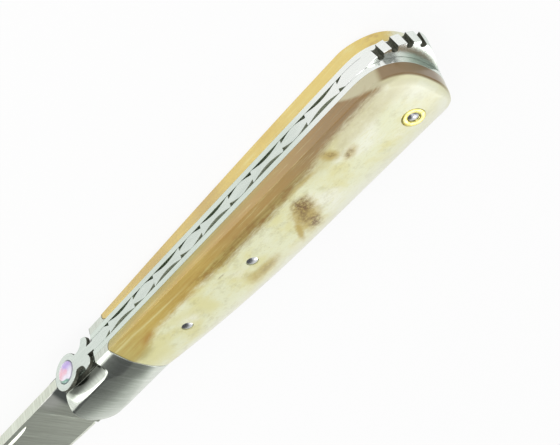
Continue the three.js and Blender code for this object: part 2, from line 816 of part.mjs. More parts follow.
/** Puts the knife's origin under the middle of its box. */
function centred(group) {
  const box = new THREE.Box3().setFromObject(group);
  const middle = box.getCenter(new THREE.Vector3());
  group.position.set(-middle.x, -middle.y, -box.min.z);
  return group;
}

/** Builds every piece and hangs them in one group. */
function buildKnife() {
  const side = handleSide();
  const scalePinLow = bladeInside + pinEndInset;
  const knife = new THREE.Group();
  knife.name = 'pocket_knife';
  knife.add(
    piece('blade', geometryOf(blade()), brushedSteel),
    piece('spring_arm', geometryOf(springArm()), steel),
    piece('spring_rear_body', geometryOf(springRearBody()), steel),
    piece('opal_cabochon', geometryOf(opalCabochon()), opal),
    ...pair('liner', geometryOf(liner()), steel),
    ...pair('bolster', geometryOf(bolster(side)), brushedSteel),
    ...pair('scale', geometryOf(scale(side)), bone),
    piece('pivot_pin', geometryOf(pivotPin(side)), steel),
    piece('spring_pin', geometryOf(solid(
      rod(springPinX, springPinDepth, springPinDiameter, -linerOutside, linerOutside))), steel),
    piece('butt_pin', geometryOf(solid(
      rod(buttPinX, buttPinDepth, buttPinDiameter, -crownTop, crownTop))), steel),
    ...pair('rosette', geometryOf(rosette()), brass),
    ...pair('scale_pin_front', geometryOf(solid(
      rod(frontScalePinX, scalePinDepth, scalePinDiameter, scalePinLow, crownTop))), steel),
    ...pair('scale_pin_middle', geometryOf(solid(
      rod(middleScalePinX, scalePinDepth, scalePinDiameter, scalePinLow, crownTop))), steel),
  );
  return centred(knife);
}

export default buildKnife();
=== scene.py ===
"""An open folding pocket knife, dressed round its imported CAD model.

Sizes are in millimetres of the maker's frame: x runs along the handle from the first notch of
the spring's file work to the butt, y points out of the handle's back, where the spring's top
lies at y = 0, and z runs from the middle of the blade towards the mark side. A depth lies at
minus y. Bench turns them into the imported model's metres.
"""

import logging
import math
from dataclasses import dataclass
from enum import Enum
from typing import Any, Callable, Sequence

import bmesh
import bpy
import numpy as np
from mathutils import Matrix, Vector


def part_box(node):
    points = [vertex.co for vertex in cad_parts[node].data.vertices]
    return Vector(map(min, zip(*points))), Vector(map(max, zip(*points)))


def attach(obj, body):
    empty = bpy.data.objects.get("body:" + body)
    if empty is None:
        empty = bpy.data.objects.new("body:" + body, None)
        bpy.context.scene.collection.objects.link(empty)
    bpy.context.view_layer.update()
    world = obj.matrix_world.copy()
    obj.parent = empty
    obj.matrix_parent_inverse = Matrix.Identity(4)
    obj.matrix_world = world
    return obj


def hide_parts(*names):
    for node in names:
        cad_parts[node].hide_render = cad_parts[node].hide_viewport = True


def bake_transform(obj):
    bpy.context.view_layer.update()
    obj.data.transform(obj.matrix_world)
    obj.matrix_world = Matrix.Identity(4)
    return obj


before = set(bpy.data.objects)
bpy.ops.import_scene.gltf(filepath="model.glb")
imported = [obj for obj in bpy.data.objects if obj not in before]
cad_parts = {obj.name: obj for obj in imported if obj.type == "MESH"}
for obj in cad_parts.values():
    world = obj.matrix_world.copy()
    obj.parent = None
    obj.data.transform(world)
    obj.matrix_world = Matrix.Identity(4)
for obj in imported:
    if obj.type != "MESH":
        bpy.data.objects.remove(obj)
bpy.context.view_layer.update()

LOG = logging.getLogger("pocket_knife")
MM = 0.001
Pair = tuple[float, float]
Triple = tuple[float, float, float]
Colour = tuple[float, float, float, float]
WHITE: Colour = (1.0, 1.0, 1.0, 1.0)
BLACK: Colour = (0.0, 0.0, 0.0, 1.0)
FLAT_SHARES: Pair = (0.36, 0.52)
BELLY_SHARE = 0.46
BELLY_ROWS = 20


def tone(red: float, green: float, blue: float) -> Colour:
    """Turns a screen colour of 0 to 255 into a linear one.

    Args:
        red: Screen red.
        green: Screen green.
        blue: Screen blue.

    Returns:
        The colour as Blender's shaders take it.
    """
    def linear(value: float) -> float:
        """Undoes the screen's curve for one channel."""
        share = value / 255
        return share / 12.92 if share <= 0.04045 else ((share + 0.055) / 1.055) ** 2.4

    return linear(red), linear(green), linear(blue), 1.0


def eased(value: Any, low: float, high: float) -> Any:
    """Rises smoothly from 0 at low to 1 at high."""
    share = np.clip((value - low) / (high - low), 0, 1)
    return share * share * (3 - 2 * share)


def curve(start: Sequence[float], bow: Sequence[float], end: Sequence[float],
          steps: int) -> np.ndarray:
    """Points of a quadratic curve, its first point left out.

    Args:
        start: Where it starts.
        bow: The point that it bends towards.
        end: Where it ends.
        steps: How many points to make.

    Returns:
        The points, one in each row.
    """
    share = (np.arange(steps) + 1)[:, None] / steps
    first, middle, last = (np.array(point, float) for point in (start, bow, end))
    return first * (1 - share) ** 2 + middle * 2 * share * (1 - share) + last * share ** 2


def arc(centre: Sequence[float], radius: float, start: float, end: float,
        steps: int) -> np.ndarray:
    """Points of a round arc, both ends included.

    Args:
        centre: The arc's middle.
        radius: Its radius.
        start: The first angle in degrees.
        end: The last angle in degrees.
        steps: How many spans to make.

    Returns:
        The points, one in each row.
    """
    angle = np.radians(np.linspace(start, end, steps + 1))
    return np.column_stack([centre[0] + radius * np.cos(angle),
                            centre[1] + radius * np.sin(angle)])


def superellipse(centre: Sequence[float], reach: Sequence[float], power: float,
                 start: float, end: float, steps: int) -> np.ndarray:
    """Points of a squared round corner.

    Args:
        centre: The corner's middle.
        reach: How far it reaches in x and in y.
        power: 2 for an ellipse, more for a squarer corner.
        start: The first angle in degrees.
        end: The last angle in degrees.
        steps: How many spans to make.

    Returns:
        The points, one in each row.
    """
    angle = np.radians(np.linspace(start, end, steps + 1))
    cosine, sine = np.cos(angle), np.sin(angle)
    return np.column_stack([
        centre[0] + reach[0] * np.sign(cosine) * np.abs(cosine) ** (2 / power),
        centre[1] + reach[1] * np.sign(sine) * np.abs(sine) ** (2 / power)])


def linked(name: str, data: Any) -> bpy.types.Object:
    """Makes an object of some data and links it to the scene."""
    made = bpy.data.objects.new(name, data)
    bpy.context.scene.collection.objects.link(made)
    return made


@dataclass(frozen=True)
class Bench:
    """Where the maker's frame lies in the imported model, in millimetres."""

    x: float
    y: float
    z: float

    @classmethod
    def from_pivot(cls, pivot_x: float, pivot_depth: float) -> "Bench":
        """Finds the frame from the pivot pin, which is the same pin in both.

        Args:
            pivot_x: The pin's place along the maker's frame.
            pivot_depth: Its depth below the back.

        Returns:
            The bench.
        """
        low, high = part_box("pivot_pin")
        middle = (low + high) / (2 * MM)
        return cls(middle.x - pivot_x, middle.y + pivot_depth, middle.z)

    def point(self, x: float, y: float, z: float) -> Vector:
        """Gives a point of the maker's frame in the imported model's metres."""
        return Vector((x + self.x, y + self.y, z + self.z)) * MM

    def matrix(self) -> Matrix:
        """Gives the whole move from the maker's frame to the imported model."""
        return Matrix.Scale(MM, 4) @ Matrix.Translation((self.x, self.y, self.z))


PIVOT_X = -19.0
PIVOT_DEPTH = 10.3
BENCH = Bench.from_pivot(PIVOT_X, PIVOT_DEPTH)


def operator(name: str, swapped: bool = False) -> Callable[..., "Shade"]:
    """Makes an operator of Shade.

    Args:
        name: Blender's name for the Math node's operation.
        swapped: Whether the other value comes first, as in a reflected operator.

    Returns:
        The operator.
    """
    def apply(self: "Shade", other: "Shade | float") -> "Shade":
        """Adds the Math node."""
        return self.tree.math(name, *((other, self) if swapped else (self, other)))

    return apply


class Shade:
    """A number on its way through a shader tree. Arithmetic on it adds Math nodes."""

    def __init__(self, tree: "NodeTree", socket: bpy.types.NodeSocket) -> None:
        """Keeps the socket and the tree that it belongs to."""
        self.tree = tree
        self.socket = socket

    __add__ = __radd__ = operator("ADD")
    __sub__ = operator("SUBTRACT")
    __rsub__ = operator("SUBTRACT", True)
    __mul__ = __rmul__ = operator("MULTIPLY")
    __truediv__ = operator("DIVIDE")
    __rtruediv__ = operator("DIVIDE", True)
    __pow__ = operator("POWER")
    __rpow__ = operator("POWER", True)
    at_least = operator("MAXIMUM")
    at_most = operator("MINIMUM")

    def __neg__(self) -> "Shade":
        """Turns its sign over."""
        return self * -1.0

    def __abs__(self) -> "Shade":
        """Drops its sign."""
        return self.tree.math("ABSOLUTE", self)

    def rise(self, low: float, high: float) -> "Shade":
        """Rises smoothly from 0 where it is low to 1 where it is high."""
        return self.tree.ranged(self, low, high, 0.0, 1.0)

    def fall(self, low: float, high: float) -> "Shade":
        """Falls smoothly from 1 where it is low to 0 where it is high."""
        return self.tree.ranged(self, low, high, 1.0, 0.0)


class NodeTree:
    """The node tree of a material or a world, emptied, with the way to add nodes to it."""

    def __init__(self, owner: bpy.types.Material | bpy.types.World) -> None:
        """Empties the owner's tree."""
        owner.use_nodes = True
        self.nodes = owner.node_tree.nodes
        self.links = owner.node_tree.links
        self.nodes.clear()

    def node(self, kind: str, settings: dict[str, Any] | None = None,
             inputs: dict[str | int, Any] | None = None) -> bpy.types.Node:
        """Adds one node.

        Args:
            kind: The node's type.
            settings: Its settings, set first; stops holds a ramp's places and colours.
            inputs: Values or links for its sockets.

        Returns:
            The node.
        """
        made = self.nodes.new(kind)
        for key, value in (settings or {}).items():
            if key == "stops":
                self.set_stops(made.color_ramp, value)
            else:
                setattr(made, key, value)
        for key, value in (inputs or {}).items():
            source = value.socket if isinstance(value, Shade) else value
            if isinstance(source, bpy.types.NodeSocket):
                self.links.new(source, made.inputs[key])
            else:
                made.inputs[key].default_value = source
        return made

    @staticmethod
    def set_stops(ramp: bpy.types.ColorRamp, stops: Sequence[tuple[float, Colour]]) -> None:
        """Gives a colour ramp its places and colours.

        Args:
            ramp: The ramp.
            stops: Each place from 0 to 1 and its colour.
        """
        while len(ramp.elements) < len(stops):
            ramp.elements.new(1.0)
        for element, (place, colour) in zip(ramp.elements, stops):
            element.position = place
            element.color = colour

    def math(self, operation: str, *values: Shade | float) -> Shade:
        """Adds a Math node on one to three values."""
        made = self.node("ShaderNodeMath", {"operation": operation}, dict(enumerate(values)))
        return Shade(self, made.outputs[0])

    def ranged(self, value: Shade, low: float, high: float, first: float,
               last: float, way: str = "SMOOTHSTEP") -> Shade:
        """Maps a value from one range to another.

        Args:
            value: The value.
            low: Where its range starts.
            high: Where its range ends.
            first: What it becomes where it is low.
            last: What it becomes where it is high.
            way: Blender's name for the curve between them.

        Returns:
            The mapped value.
        """
        made = self.node("ShaderNodeMapRange", {"interpolation_type": way}, {
            "Value": value, "From Min": low, "From Max": high, "To Min": first,
            "To Max": last})
        return Shade(self, made.outputs[0])


class ShaderTree(NodeTree):
    """The tree of one material, painted in the maker's frame."""

    def __init__(self, name: str) -> None:
        """Starts an empty material of that name.

        Args:
            name: The material's name.
        """
        self.material = bpy.data.materials.new(name)
        super().__init__(self.material)
        place = self.node("ShaderNodeTexCoord").outputs["Object"]
        shift = (-BENCH.x, -BENCH.y, -BENCH.z)
        self.position = self.node(
            "ShaderNodeVectorMath", {"operation": "MULTIPLY_ADD"},
            {0: place, 1: (1 / MM,) * 3, 2: shift}).outputs[0]
        parts = self.node("ShaderNodeSeparateXYZ", inputs={0: self.position}).outputs
        self.x = Shade(self, parts[0])
        self.depth = -Shade(self, parts[1])
        self.z = Shade(self, parts[2])

    def stretched(self, factors: Sequence[float],
                  shift: Sequence[float] = (0.0, 0.0, 0.0)) -> bpy.types.NodeSocket:
        """Scales the maker's frame on each axis, for grain that runs one way."""
        return self.node("ShaderNodeVectorMath", {"operation": "MULTIPLY_ADD"},
                         {0: self.position, 1: tuple(factors), 2: tuple(shift)}).outputs[0]

    def noise(self, factors: Sequence[float], detail: float = 3.0, rough: float = 0.5,
              shift: Sequence[float] = (0.0, 0.0, 0.0)) -> Shade:
        """Adds noise.

        Args:
            factors: How many of its cells lie in a millimetre, on each axis.
            detail: How many finer layers it has.
            rough: How strong those are.
            shift: Where in the noise it starts.

        Returns:
            Values round 0.5.
        """
        made = self.node(
            "ShaderNodeTexNoise", {"noise_dimensions": "3D"},
            {"Vector": self.stretched(factors, shift), "Scale": 1.0, "Detail": detail,
             "Roughness": rough})
        return Shade(self, made.outputs[0])

    def mix(self, factor: Shade | float, first: Any, second: Any) -> bpy.types.NodeSocket:
        """Mixes two colours: the first where the factor is 0, the second where it is 1."""
        return self.node("ShaderNodeMix", {"data_type": "RGBA"},
                         {0: factor, 6: first, 7: second}).outputs[2]

    def layered(self, base: Any, *layers: tuple[Shade, Any]) -> Any:
        """Lays colours over a base one by one.

        Args:
            base: The colour under them.
            layers: The share of each colour and the colour.

        Returns:
            The colour that shows.
        """
        for share, colour in layers:
            base = self.mix(share, base, colour)
        return base

    def ramp(self, value: Shade, stops: Sequence[tuple[float, Colour]]) -> bpy.types.NodeSocket:
        """Turns a value into a colour."""
        return self.node("ShaderNodeValToRGB", {"stops": stops}, {0: value}).outputs[0]

    def patch(self, x: float, depth: float, length: float, width: float, turn: float,
              ragged: Shade, softness: float = 0.6) -> Shade:
        """Marks an oval place seen from the side, with a ragged edge.

        Args:
            x: Its middle along the handle.
            depth: Its middle below the back.
            length: Half its length in millimetres.
            width: Half its width in millimetres.
            turn: How far it is turned towards the belly, in degrees.
            ragged: Noise round 0 that wears its edge.
            softness: How soft its edge is.

        Returns:
            1 inside and 0 outside.
        """
        cosine, sine = math.cos(math.radians(turn)), math.sin(math.radians(turn))
        along = ((self.x - x) * cosine + (self.depth - depth) * sine) / length
        across = ((self.depth - depth) * cosine - (self.x - x) * sine) / width
        reach = (along * along + across * across) ** 0.5 + ragged
        return reach.fall(1.0 - softness, 1.0 + softness * 0.5)

    def surface(self, base: Any, roughness: Shade | float, metallic: float,
                height: Shade | None = None, relief: float = 0.01,
                others: dict[str, Any] | None = None) -> bpy.types.Material:
        """Closes the tree with one surface.

        Args:
            base: Its colour.
            roughness: Its roughness.
            metallic: 1 for metal.
            height: Its fine relief, from 0 to 1.
            relief: How high that relief is, in millimetres.
            others: Values or links for its other sockets.

        Returns:
            The material.
        """
        shader = self.node("ShaderNodeBsdfPrincipled", inputs={
            "Base Color": base, "Roughness": roughness, "Metallic": metallic,
            **(others or {})})
        if height is not None:
            bump = self.node("ShaderNodeBump", inputs={
                "Strength": 1.0, "Distance": relief * MM, "Height": height})
            self.links.new(bump.outputs[0], shader.inputs["Normal"])
        self.node("ShaderNodeOutputMaterial", inputs={"Surface": shader.outputs[0]})
        return self.material


@dataclass(frozen=True)
class SteelFinish:
    """Steel ground or polished one way, with fine lines and a few smears."""

    name: str
    light: Colour
    dark: Colour
    roughness: float
    grain: Triple
    lines: float = 0.35
    relief: float = 0.004
    smear: float = 0.25
    # The shares, places and colours from here on paint shade, reflections and highlights into the
    # steel's colour.
    hollow_shade: float = 0.0
    butt_highlight_share: float = 0.0
    root_shade: float = 0.0
    root_highlight_share: float = 0.6
    hollow_line: Pair = (6.4, 8.9)
    hollow_start_x: Pair = (-24.5, -19.5)
    hollow_end_x: Pair = (-7.4, -6.8)
    root_flank: Pair = (1.1, 1.35)
    root_x: Pair = (-24.6, -22.9)
    root_depth: Pair = (4.6, 7.0)
    root_slant: float = 0.45
    glow_x: Pair = (-31.0, -27.0)
    glow_depth: Pair = (2.0, 6.0)
    butt_x: Pair = (60.0, 76.0)
    butt_depth: Pair = (3.0, 8.0)
    hollow_shade_colour: Colour = tone(72, 76, 68)
    root_shade_colour: Colour = tone(100, 106, 104)
    root_highlight_colour: Colour = tone(255, 255, 250)
    butt_highlight_colour: Colour = tone(255, 255, 253)

    def mirrored(self, tree: ShaderTree, base: Any, clouds: Shade) -> Any:
        """Paints shade, reflections and highlights into the steel's colour, where it mirrors what
        stood round the knife.

        Args:
            tree: The steel's tree.
            base: Its own colour.
            clouds: Slow noise round 0 that bends the tones' edges.

        Returns:
            The toned colour.
        """
        x, depth = tree.x, tree.depth
        # Painted reflection and shade: the bolster darkens along the hollow under the bee, which
        # it mirrors.
        if self.hollow_shade:
            line = (depth + abs(tree.z) + clouds).fall(*self.hollow_line)
            shade = line * x.fall(*self.hollow_end_x) * x.rise(*self.hollow_start_x)
            base = tree.mix(shade * self.hollow_shade, base, self.hollow_shade_colour)
        # Painted highlight on the blade's flank near the spine, and painted shade on the flank
        # beside the bolster, where the root mirrors the bolster.
        if self.root_shade:
            flank = abs(tree.z).rise(*self.root_flank)
            glow = x.rise(*self.glow_x) * depth.fall(*self.glow_depth) * flank
            line = (x + depth * self.root_slant + clouds).rise(*self.root_x)
            shade = line * depth.fall(*self.root_depth) * flank
            base = tree.layered(base, (glow * self.root_highlight_share, self.root_highlight_colour),
                                (shade * self.root_shade, self.root_shade_colour))
        # Painted highlight: the steel near the butt is lightened towards the back.
        if self.butt_highlight_share:
            shine = x.rise(*self.butt_x) * depth.fall(*self.butt_depth)
            base = tree.mix(shine * self.butt_highlight_share, base, self.butt_highlight_colour)
        return base

    def material(self) -> bpy.types.Material:
        """Builds the material.

        Returns:
            The material.
        """
        tree = ShaderTree(self.name)
        fine = tree.noise(self.grain, detail=4, rough=0.65)
        broad = tree.noise([value * 0.23 for value in self.grain], detail=2,
                           shift=(3.1, 7.7, 1.9))
        clouds = tree.noise((0.09, 0.14, 0.14), detail=3, shift=(11.0, 2.0, 5.0))
        worn = ((fine - 0.5) * self.lines * 2 + (broad - 0.5) * self.lines
                + (clouds - 0.5) * self.smear + 0.5)
        base = tree.mix(worn.rise(0.1, 0.9), self.light, self.dark)
        base = self.mirrored(tree, base, (clouds - 0.5) * 0.8)
        rough = (fine - 0.5) * 0.16 + (clouds - 0.5) * 0.1 + self.roughness
        return tree.surface(base, rough.at_least(0.08), 1.0, fine, self.relief)


@dataclass(frozen=True)
class RecessFinish:
    """Dull steel in a filed recess, with oxide where the file's strokes are deep; where its given
    tones are dark they paint shade into the recess.
    """

    name: str
    light: Colour
    dark: Colour
    roughness: float = 0.5

    def material(self) -> bpy.types.Material:
        """Builds the material.

        Returns:
            The material.
        """
        tree = ShaderTree(self.name)
        crust = tree.noise((3.0, 3.0, 3.0), detail=4, rough=0.6)
        strokes = tree.noise((6.0, 1.2, 0.6), detail=2, shift=(5.0, 0.0, 2.0))
        base = tree.mix((crust * 0.6 + strokes * 0.4).rise(0.3, 0.7), self.dark, self.light)
        return tree.surface(base, crust * 0.2 + self.roughness, 0.55, strokes, 0.02)


@dataclass(frozen=True)
class BoneFinish:
    """Polished bone: cream, with an amber bark along the back and brown mottles."""

    name: str
    mark_side: bool = True
    cream: Colour = tone(238, 240, 202)
    pale: Colour = tone(250, 251, 232)
    straw: Colour = tone(232, 228, 168)
    amber: Colour = tone(206, 176, 92)
    grey_straw: Colour = tone(200, 190, 128)
    rust: Colour = tone(178, 132, 62)
    olive: Colour = tone(164, 154, 84)
    umber: Colour = tone(112, 76, 14)
    golden: Colour = tone(188, 160, 62)
    brown: Colour = tone(146, 104, 44)
    tan: Colour = tone(192, 162, 96)
    polish: Colour = tone(84, 76, 44)
    butt_wall: Colour = tone(138, 114, 78)
    grey_cream: Colour = tone(196, 190, 156)
    gold: Colour = tone(222, 198, 112)

    def face(self, tree: ShaderTree) -> bpy.types.NodeSocket:
        """Colours the cream face with its slow clouds, its fibres and its fine pores, and paints a
        highlight that grows paler towards the belly and the butt.

        Args:
            tree: The bone's tree.

        Returns:
            The face's colour.
        """
        clouds = tree.noise((0.11, 0.16, 0.16), 5, 0.62, (2.0, 5.0, 9.0))
        glow = tree.noise((0.09, 0.12, 0.12), 4, 0.5, (14.0, 3.0, 4.0))
        fibres = tree.noise((0.5, 2.2, 2.2), 5, 0.75, (1.0, 8.0, 2.0))
        pores = tree.noise((1.9, 2.6, 2.6), 4, 0.75, (7.0, 1.0, 5.0))
        islands = tree.noise((0.34, 0.42, 0.42), 5, 0.7, (5.0, 2.0, 6.0))
        rear = (tree.depth.fall(4.8, 8.0) * tree.x.rise(56.0, 66.0)
                * (islands * 0.8 + 0.2).rise(0.3, 0.6))
        # Painted highlight: paler towards the belly and towards the butt.
        belly = tree.depth.rise(13.5, 18.5) * 0.6 + tree.x.rise(79.0, 90.0) * 0.5
        return tree.layered(
            self.straw,
            (clouds.rise(0.36, 0.58), self.cream),
            (glow.rise(0.48, 0.7) * 0.8, self.pale),
            (fibres.rise(0.48, 0.7) * 0.45, self.straw),
            (pores.rise(0.56, 0.76) * 0.4, self.olive),
            (islands.rise(0.5, 0.66) * 0.22, self.olive),
            (rear * 0.55, self.grey_straw),
            (belly.at_most(0.85), self.pale))

    def mottles(self, tree: ShaderTree, base: Any, ragged: Shade) -> bpy.types.NodeSocket:
        """Lays the brown mottles and the golden stains on the face.

        Args:
            tree: The bone's tree.
            base: The colour under it.
            ragged: Noise round 0 that wears the edges.

        Returns:
            The colour with them.
        """
        speckle = tree.noise((1.3, 1.5, 1.5), 5, 0.75, (4.0, 4.0, 1.0))
        stains = [
            (35.4, 14.0, 4.6, 1.9, -4.0, self.golden, 0.65),
            (31.6, 13.6, 1.9, 2.6, 20.0, self.golden, 0.4),
            (36.6, 11.4, 2.4, 1.4, 0.0, self.straw, 0.8),
            (20.5, 10.4, 2.2, 2.6, 0.0, self.straw, 0.9),
            (14.5, 6.4, 4.2, 1.3, 10.0, self.straw, 0.6),
            (47.6, 13.0, 4.2, 0.8, -52.0, self.golden, 0.85),
            (51.6, 11.6, 5.6, 3.2, -56.0, self.golden, 0.85),
            (53.9, 9.2, 3.2, 2.4, -60.0, self.golden, 0.5),
            (58.0, 4.4, 6.0, 0.8, 4.0, self.golden, 0.6),
            (67.0, 4.6, 2.2, 1.6, 60.0, self.golden, 0.75),
            (69.6, 7.9, 2.2, 1.3, -20.0, self.golden, 0.6),
            (2.6, 9.0, 4.4, 4.4, 0.0, self.straw, 0.75),
            (1.6, 6.4, 3.4, 1.9, 0.0, self.olive, 0.5),
        ]
        for x, depth, length, width, turn, colour, share in stains:
            mark = tree.patch(x, depth, length, width, turn, ragged, 0.7)
            base = tree.mix(mark * share, base, colour)
        flecks = [
            (53.7, 9.0, 3.0, 2.1, -62.0, 1.0),
            (51.0, 14.2, 2.3, 1.6, -50.0, 0.9),
            (51.0, 11.4, 2.4, 1.2, -50.0, 0.65),
            (35.2, 14.2, 3.0, 1.0, 0.0, 0.3),
            (5.0, 4.8, 3.6, 1.2, -12.0, 0.3),
            (67.2, 4.4, 1.5, 0.7, 75.0, 0.6),
            (69.3, 7.8, 1.3, 0.7, -20.0, 0.75),
            (29.4, 6.7, 1.2, 0.3, 0.0, 0.6),
        ]
        for x, depth, length, width, turn, share in flecks:
            mark = tree.patch(x, depth, length, width, turn, ragged * 1.3, 0.8)
            base = tree.mix(mark * speckle.rise(0.34, 0.6) * share, base, self.umber)
        return base

    def bark(self, tree: ShaderTree, base: Any, ragged: Shade) -> bpy.types.NodeSocket:
        """Lays the amber bark along the back, browner towards the butt, with painted shade on the
        back wall and a painted highlight streak along the bevel.

        Args:
            tree: The bone's tree.
            base: The colour under it.
            ragged: Noise round 0 that wears the edges.

        Returns:
            The colour with it.
        """
        x, depth = tree.x, tree.depth
        level = depth + (tree.z - 6.2).at_most(0.0) * depth.fall(0.0, 0.25)
        wander = tree.noise((0.22, 0.5, 0.5), 3, 0.6, (6.0, 1.0, 3.0)) - 0.5
        feather = tree.noise((0.5, 2.4, 1.0), 6, 0.75, (9.0, 2.0, 7.0)) - 0.5
        strokes = tree.noise((0.09, 1.7, 1.7), 5, 0.7, (1.0, 6.0, 2.0))
        blotches = tree.noise((0.3, 0.55, 0.55), 5, 0.7, (2.0, 4.0, 7.0))
        tones = ((0.0, (192, 176, 104)), (0.13, (200, 174, 92)), (0.24, (194, 166, 86)),
                 (0.35, (198, 170, 90)), (0.46, (184, 152, 86)), (0.58, (180, 148, 84)),
                 (0.68, (168, 138, 82)), (0.78, (150, 122, 76)), (0.88, (140, 112, 68)),
                 (0.94, (146, 120, 78)))
        back = tree.ramp((x + 2.0) / 92.0, [(place, tone(*seen)) for place, seen in tones])
        # Painted shade: the back wall is darkened to olive, since the lamps light it more than the
        # bevel.
        wall = depth.fall(0.02, 0.3) * tree.z.fall(3.2, 5.2) * x.fall(30.0, 70.0)
        rust = tree.patch(6.4, 4.3, 3.0, 0.9, -12.0, ragged, 0.9)
        lower = depth.rise(1.9, 3.0) * x.rise(22.0, 34.0) * x.fall(58.0, 66.0)
        low_side = depth.rise(1.0, 3.4) * x.rise(16.0, 30.0) * x.fall(62.0, 74.0)
        # Painted highlight: a pale gloss streak along the bevel, fading by x = 28.
        highlight_streak = abs(level - 1.5 - x.rise(0.0, 20.0) * 0.5 + wander * 0.3).fall(0.05, 0.35)
        back = tree.layered(
            back,
            (wall * 0.8, self.olive),
            (strokes.rise(0.46, 0.68) * 0.4, self.rust),
            (strokes.fall(0.3, 0.46) * 0.35, self.straw),
            (rust * 0.7, self.rust),
            (lower * 0.45, self.olive),
            (lower * strokes.rise(0.42, 0.6) * 0.35, self.umber),
            (blotches.rise(0.46, 0.64) * low_side * 0.6, self.brown),
            (highlight_streak * x.fall(14.0, 28.0) * 0.42, self.straw))
        edge = (4.7 + x.fall(0.0, 11.0) * 2.2 + x.rise(24.0, 34.0) * 0.7
                - x.rise(46.0, 64.0) * 1.2 - x.rise(60.0, 72.0) * 1.8
                - x.rise(76.0, 86.0) * 0.5 + wander * 1.8 + feather * 3.0)
        light = (level - (x - 77.0) * 0.6 + 3.0 + wander * 1.2).fall(-0.5, 0.5)
        return tree.layered(base, ((depth - edge).fall(-1.5, 1.2) ** 1.3, back),
                            (light * x.rise(74.5, 77.0) * 0.9, self.grey_cream))

    def butt(self, tree: ShaderTree, base: Any) -> bpy.types.NodeSocket:
        """Darkens the wall round the butt and brightens the rim above it.

        Args:
            tree: The bone's tree.
            base: The colour under it.

        Returns:
            The colour with both.
        """
        (centre_x, centre_y), half = FORM.butt_centre, FORM.handle_depth / 2
        power = FORM.butt_power
        across = abs(tree.x - centre_x) / FORM.butt_reach
        down = abs(tree.depth + centre_y) / half
        ring = (across ** power + down ** power) ** (1 / power)
        span = tree.x.rise(85.2, 86.6)
        wall = (ring.rise(0.955, 0.985) * span * tree.z.fall(5.8, 6.3)
                * tree.depth.fall(11.0, 18.0))
        return tree.layered(base, (ring.rise(0.88, 0.97) * span * 0.3, self.straw),
                            (wall, self.butt_wall))

    def pile_face(self, tree: ShaderTree, base: Any, ragged: Shade) -> bpy.types.NodeSocket:
        """Lays plain golden bark along the back and a few stains on the pile side's face.

        Args:
            tree: The bone's tree.
            base: The colour under it.
            ragged: Noise round 0 that wears the edges.

        Returns:
            The colour with them.
        """
        strokes = tree.noise((0.1, 1.1, 1.1), 4, 0.6, (8.0, 3.0, 2.0))
        drift = tree.noise((0.06, 0.1, 0.1), 2, 0.5, (3.0, 9.0, 5.0))
        golden = tree.layered(
            self.gold,
            (strokes.rise(0.45, 0.75) * 0.4, self.straw),
            (drift.rise(0.5, 0.66) * 0.4, self.amber),
            (tree.x.fall(36.0, 54.0) * (0.15 + strokes.rise(0.35, 0.6) * 0.4), self.tan),
            *((tree.patch(x, 0.0, length, 4.0, 0.0, ragged, 0.8) * 0.5, self.tan)
              for x, length in ((17.0, 8.0), (38.0, 5.0))))
        under = tree.depth - (4.8 + ragged * 3.0)
        inner = (under + 1.6).fall(-1.6, 1.4) * tree.depth.rise(0.4, 2.0)
        base = tree.layered(base, (under.fall(-1.2, 1.0), golden),
                            (inner * strokes.rise(0.4, 0.62) * 0.5, self.rust))
        for place in ((22.0, 11.4, 5.0, 2.2, 24.0), (55.0, 9.0, 3.6, 2.4, -30.0),
                      (71.0, 13.4, 3.0, 1.4, 12.0)):
            mark = tree.patch(*place, ragged * 1.3, 0.8)
            base = tree.layered(base, (mark * 0.6, self.golden),
                                (mark * strokes.rise(0.4, 0.6) * 0.6, self.umber))
        return base

    def seam(self, tree: ShaderTree, base: Any) -> bpy.types.NodeSocket:
        """Draws the dark polish that stays in the joint with the bolster.

        Args:
            tree: The bone's tree.
            base: The colour under it.

        Returns:
            The colour with it.
        """
        corner = FORM.scale_corner
        along = (FORM.joint_x + corner - tree.x).at_least(0.0)
        up = (FORM.liner_outside + corner - abs(tree.z)).at_least(0.0)
        reach = (along * along + up * up) ** 0.5
        line = reach.rise(corner - 0.42, corner - 0.06) * along.rise(0.05, 0.5)
        return tree.mix(line * 0.85, base, self.polish)

    def material(self) -> bpy.types.Material:
        """Builds the material.

        Returns:
            The material.
        """
        tree = ShaderTree(self.name)
        ragged = tree.noise((0.6, 0.7, 0.7), 5, 0.7, (3.0, 3.0, 8.0)) - 0.5
        base = self.face(tree)
        if self.mark_side:
            base = self.mottles(tree, base, ragged)
            base = self.bark(tree, base, ragged)
            base = self.butt(tree, base)
        else:
            base = self.pile_face(tree, base, ragged)
        base = self.seam(tree, base)
        pores = tree.noise((2.2, 5.5, 5.5), detail=3, rough=0.65)
        rough = (pores - 0.5) * 0.16 + 0.32
        return tree.surface(base, rough, 0.0, pores, 0.006,
                            {"Coat Weight": 0.5, "Coat Roughness": 0.16})


@dataclass(frozen=True)
class BrassFinish:
    """Bright polished brass with a thin tarnish."""

    name: str = "rosette_polished_brass"
    light: Colour = tone(250, 242, 160)
    dark: Colour = tone(228, 206, 104)

    def material(self) -> bpy.types.Material:
        """Builds the material.

        Returns:
            The material.
        """
        tree = ShaderTree(self.name)
        tarnish = tree.noise((1.6, 1.6, 1.6), detail=4, rough=0.6)
        lines = tree.noise((12.0, 3.0, 3.0), detail=2)
        base = tree.mix(tarnish.rise(0.4, 0.7), self.light, self.dark)
        return tree.surface(base, tarnish * 0.15 + 0.16, 1.0, lines, 0.003)


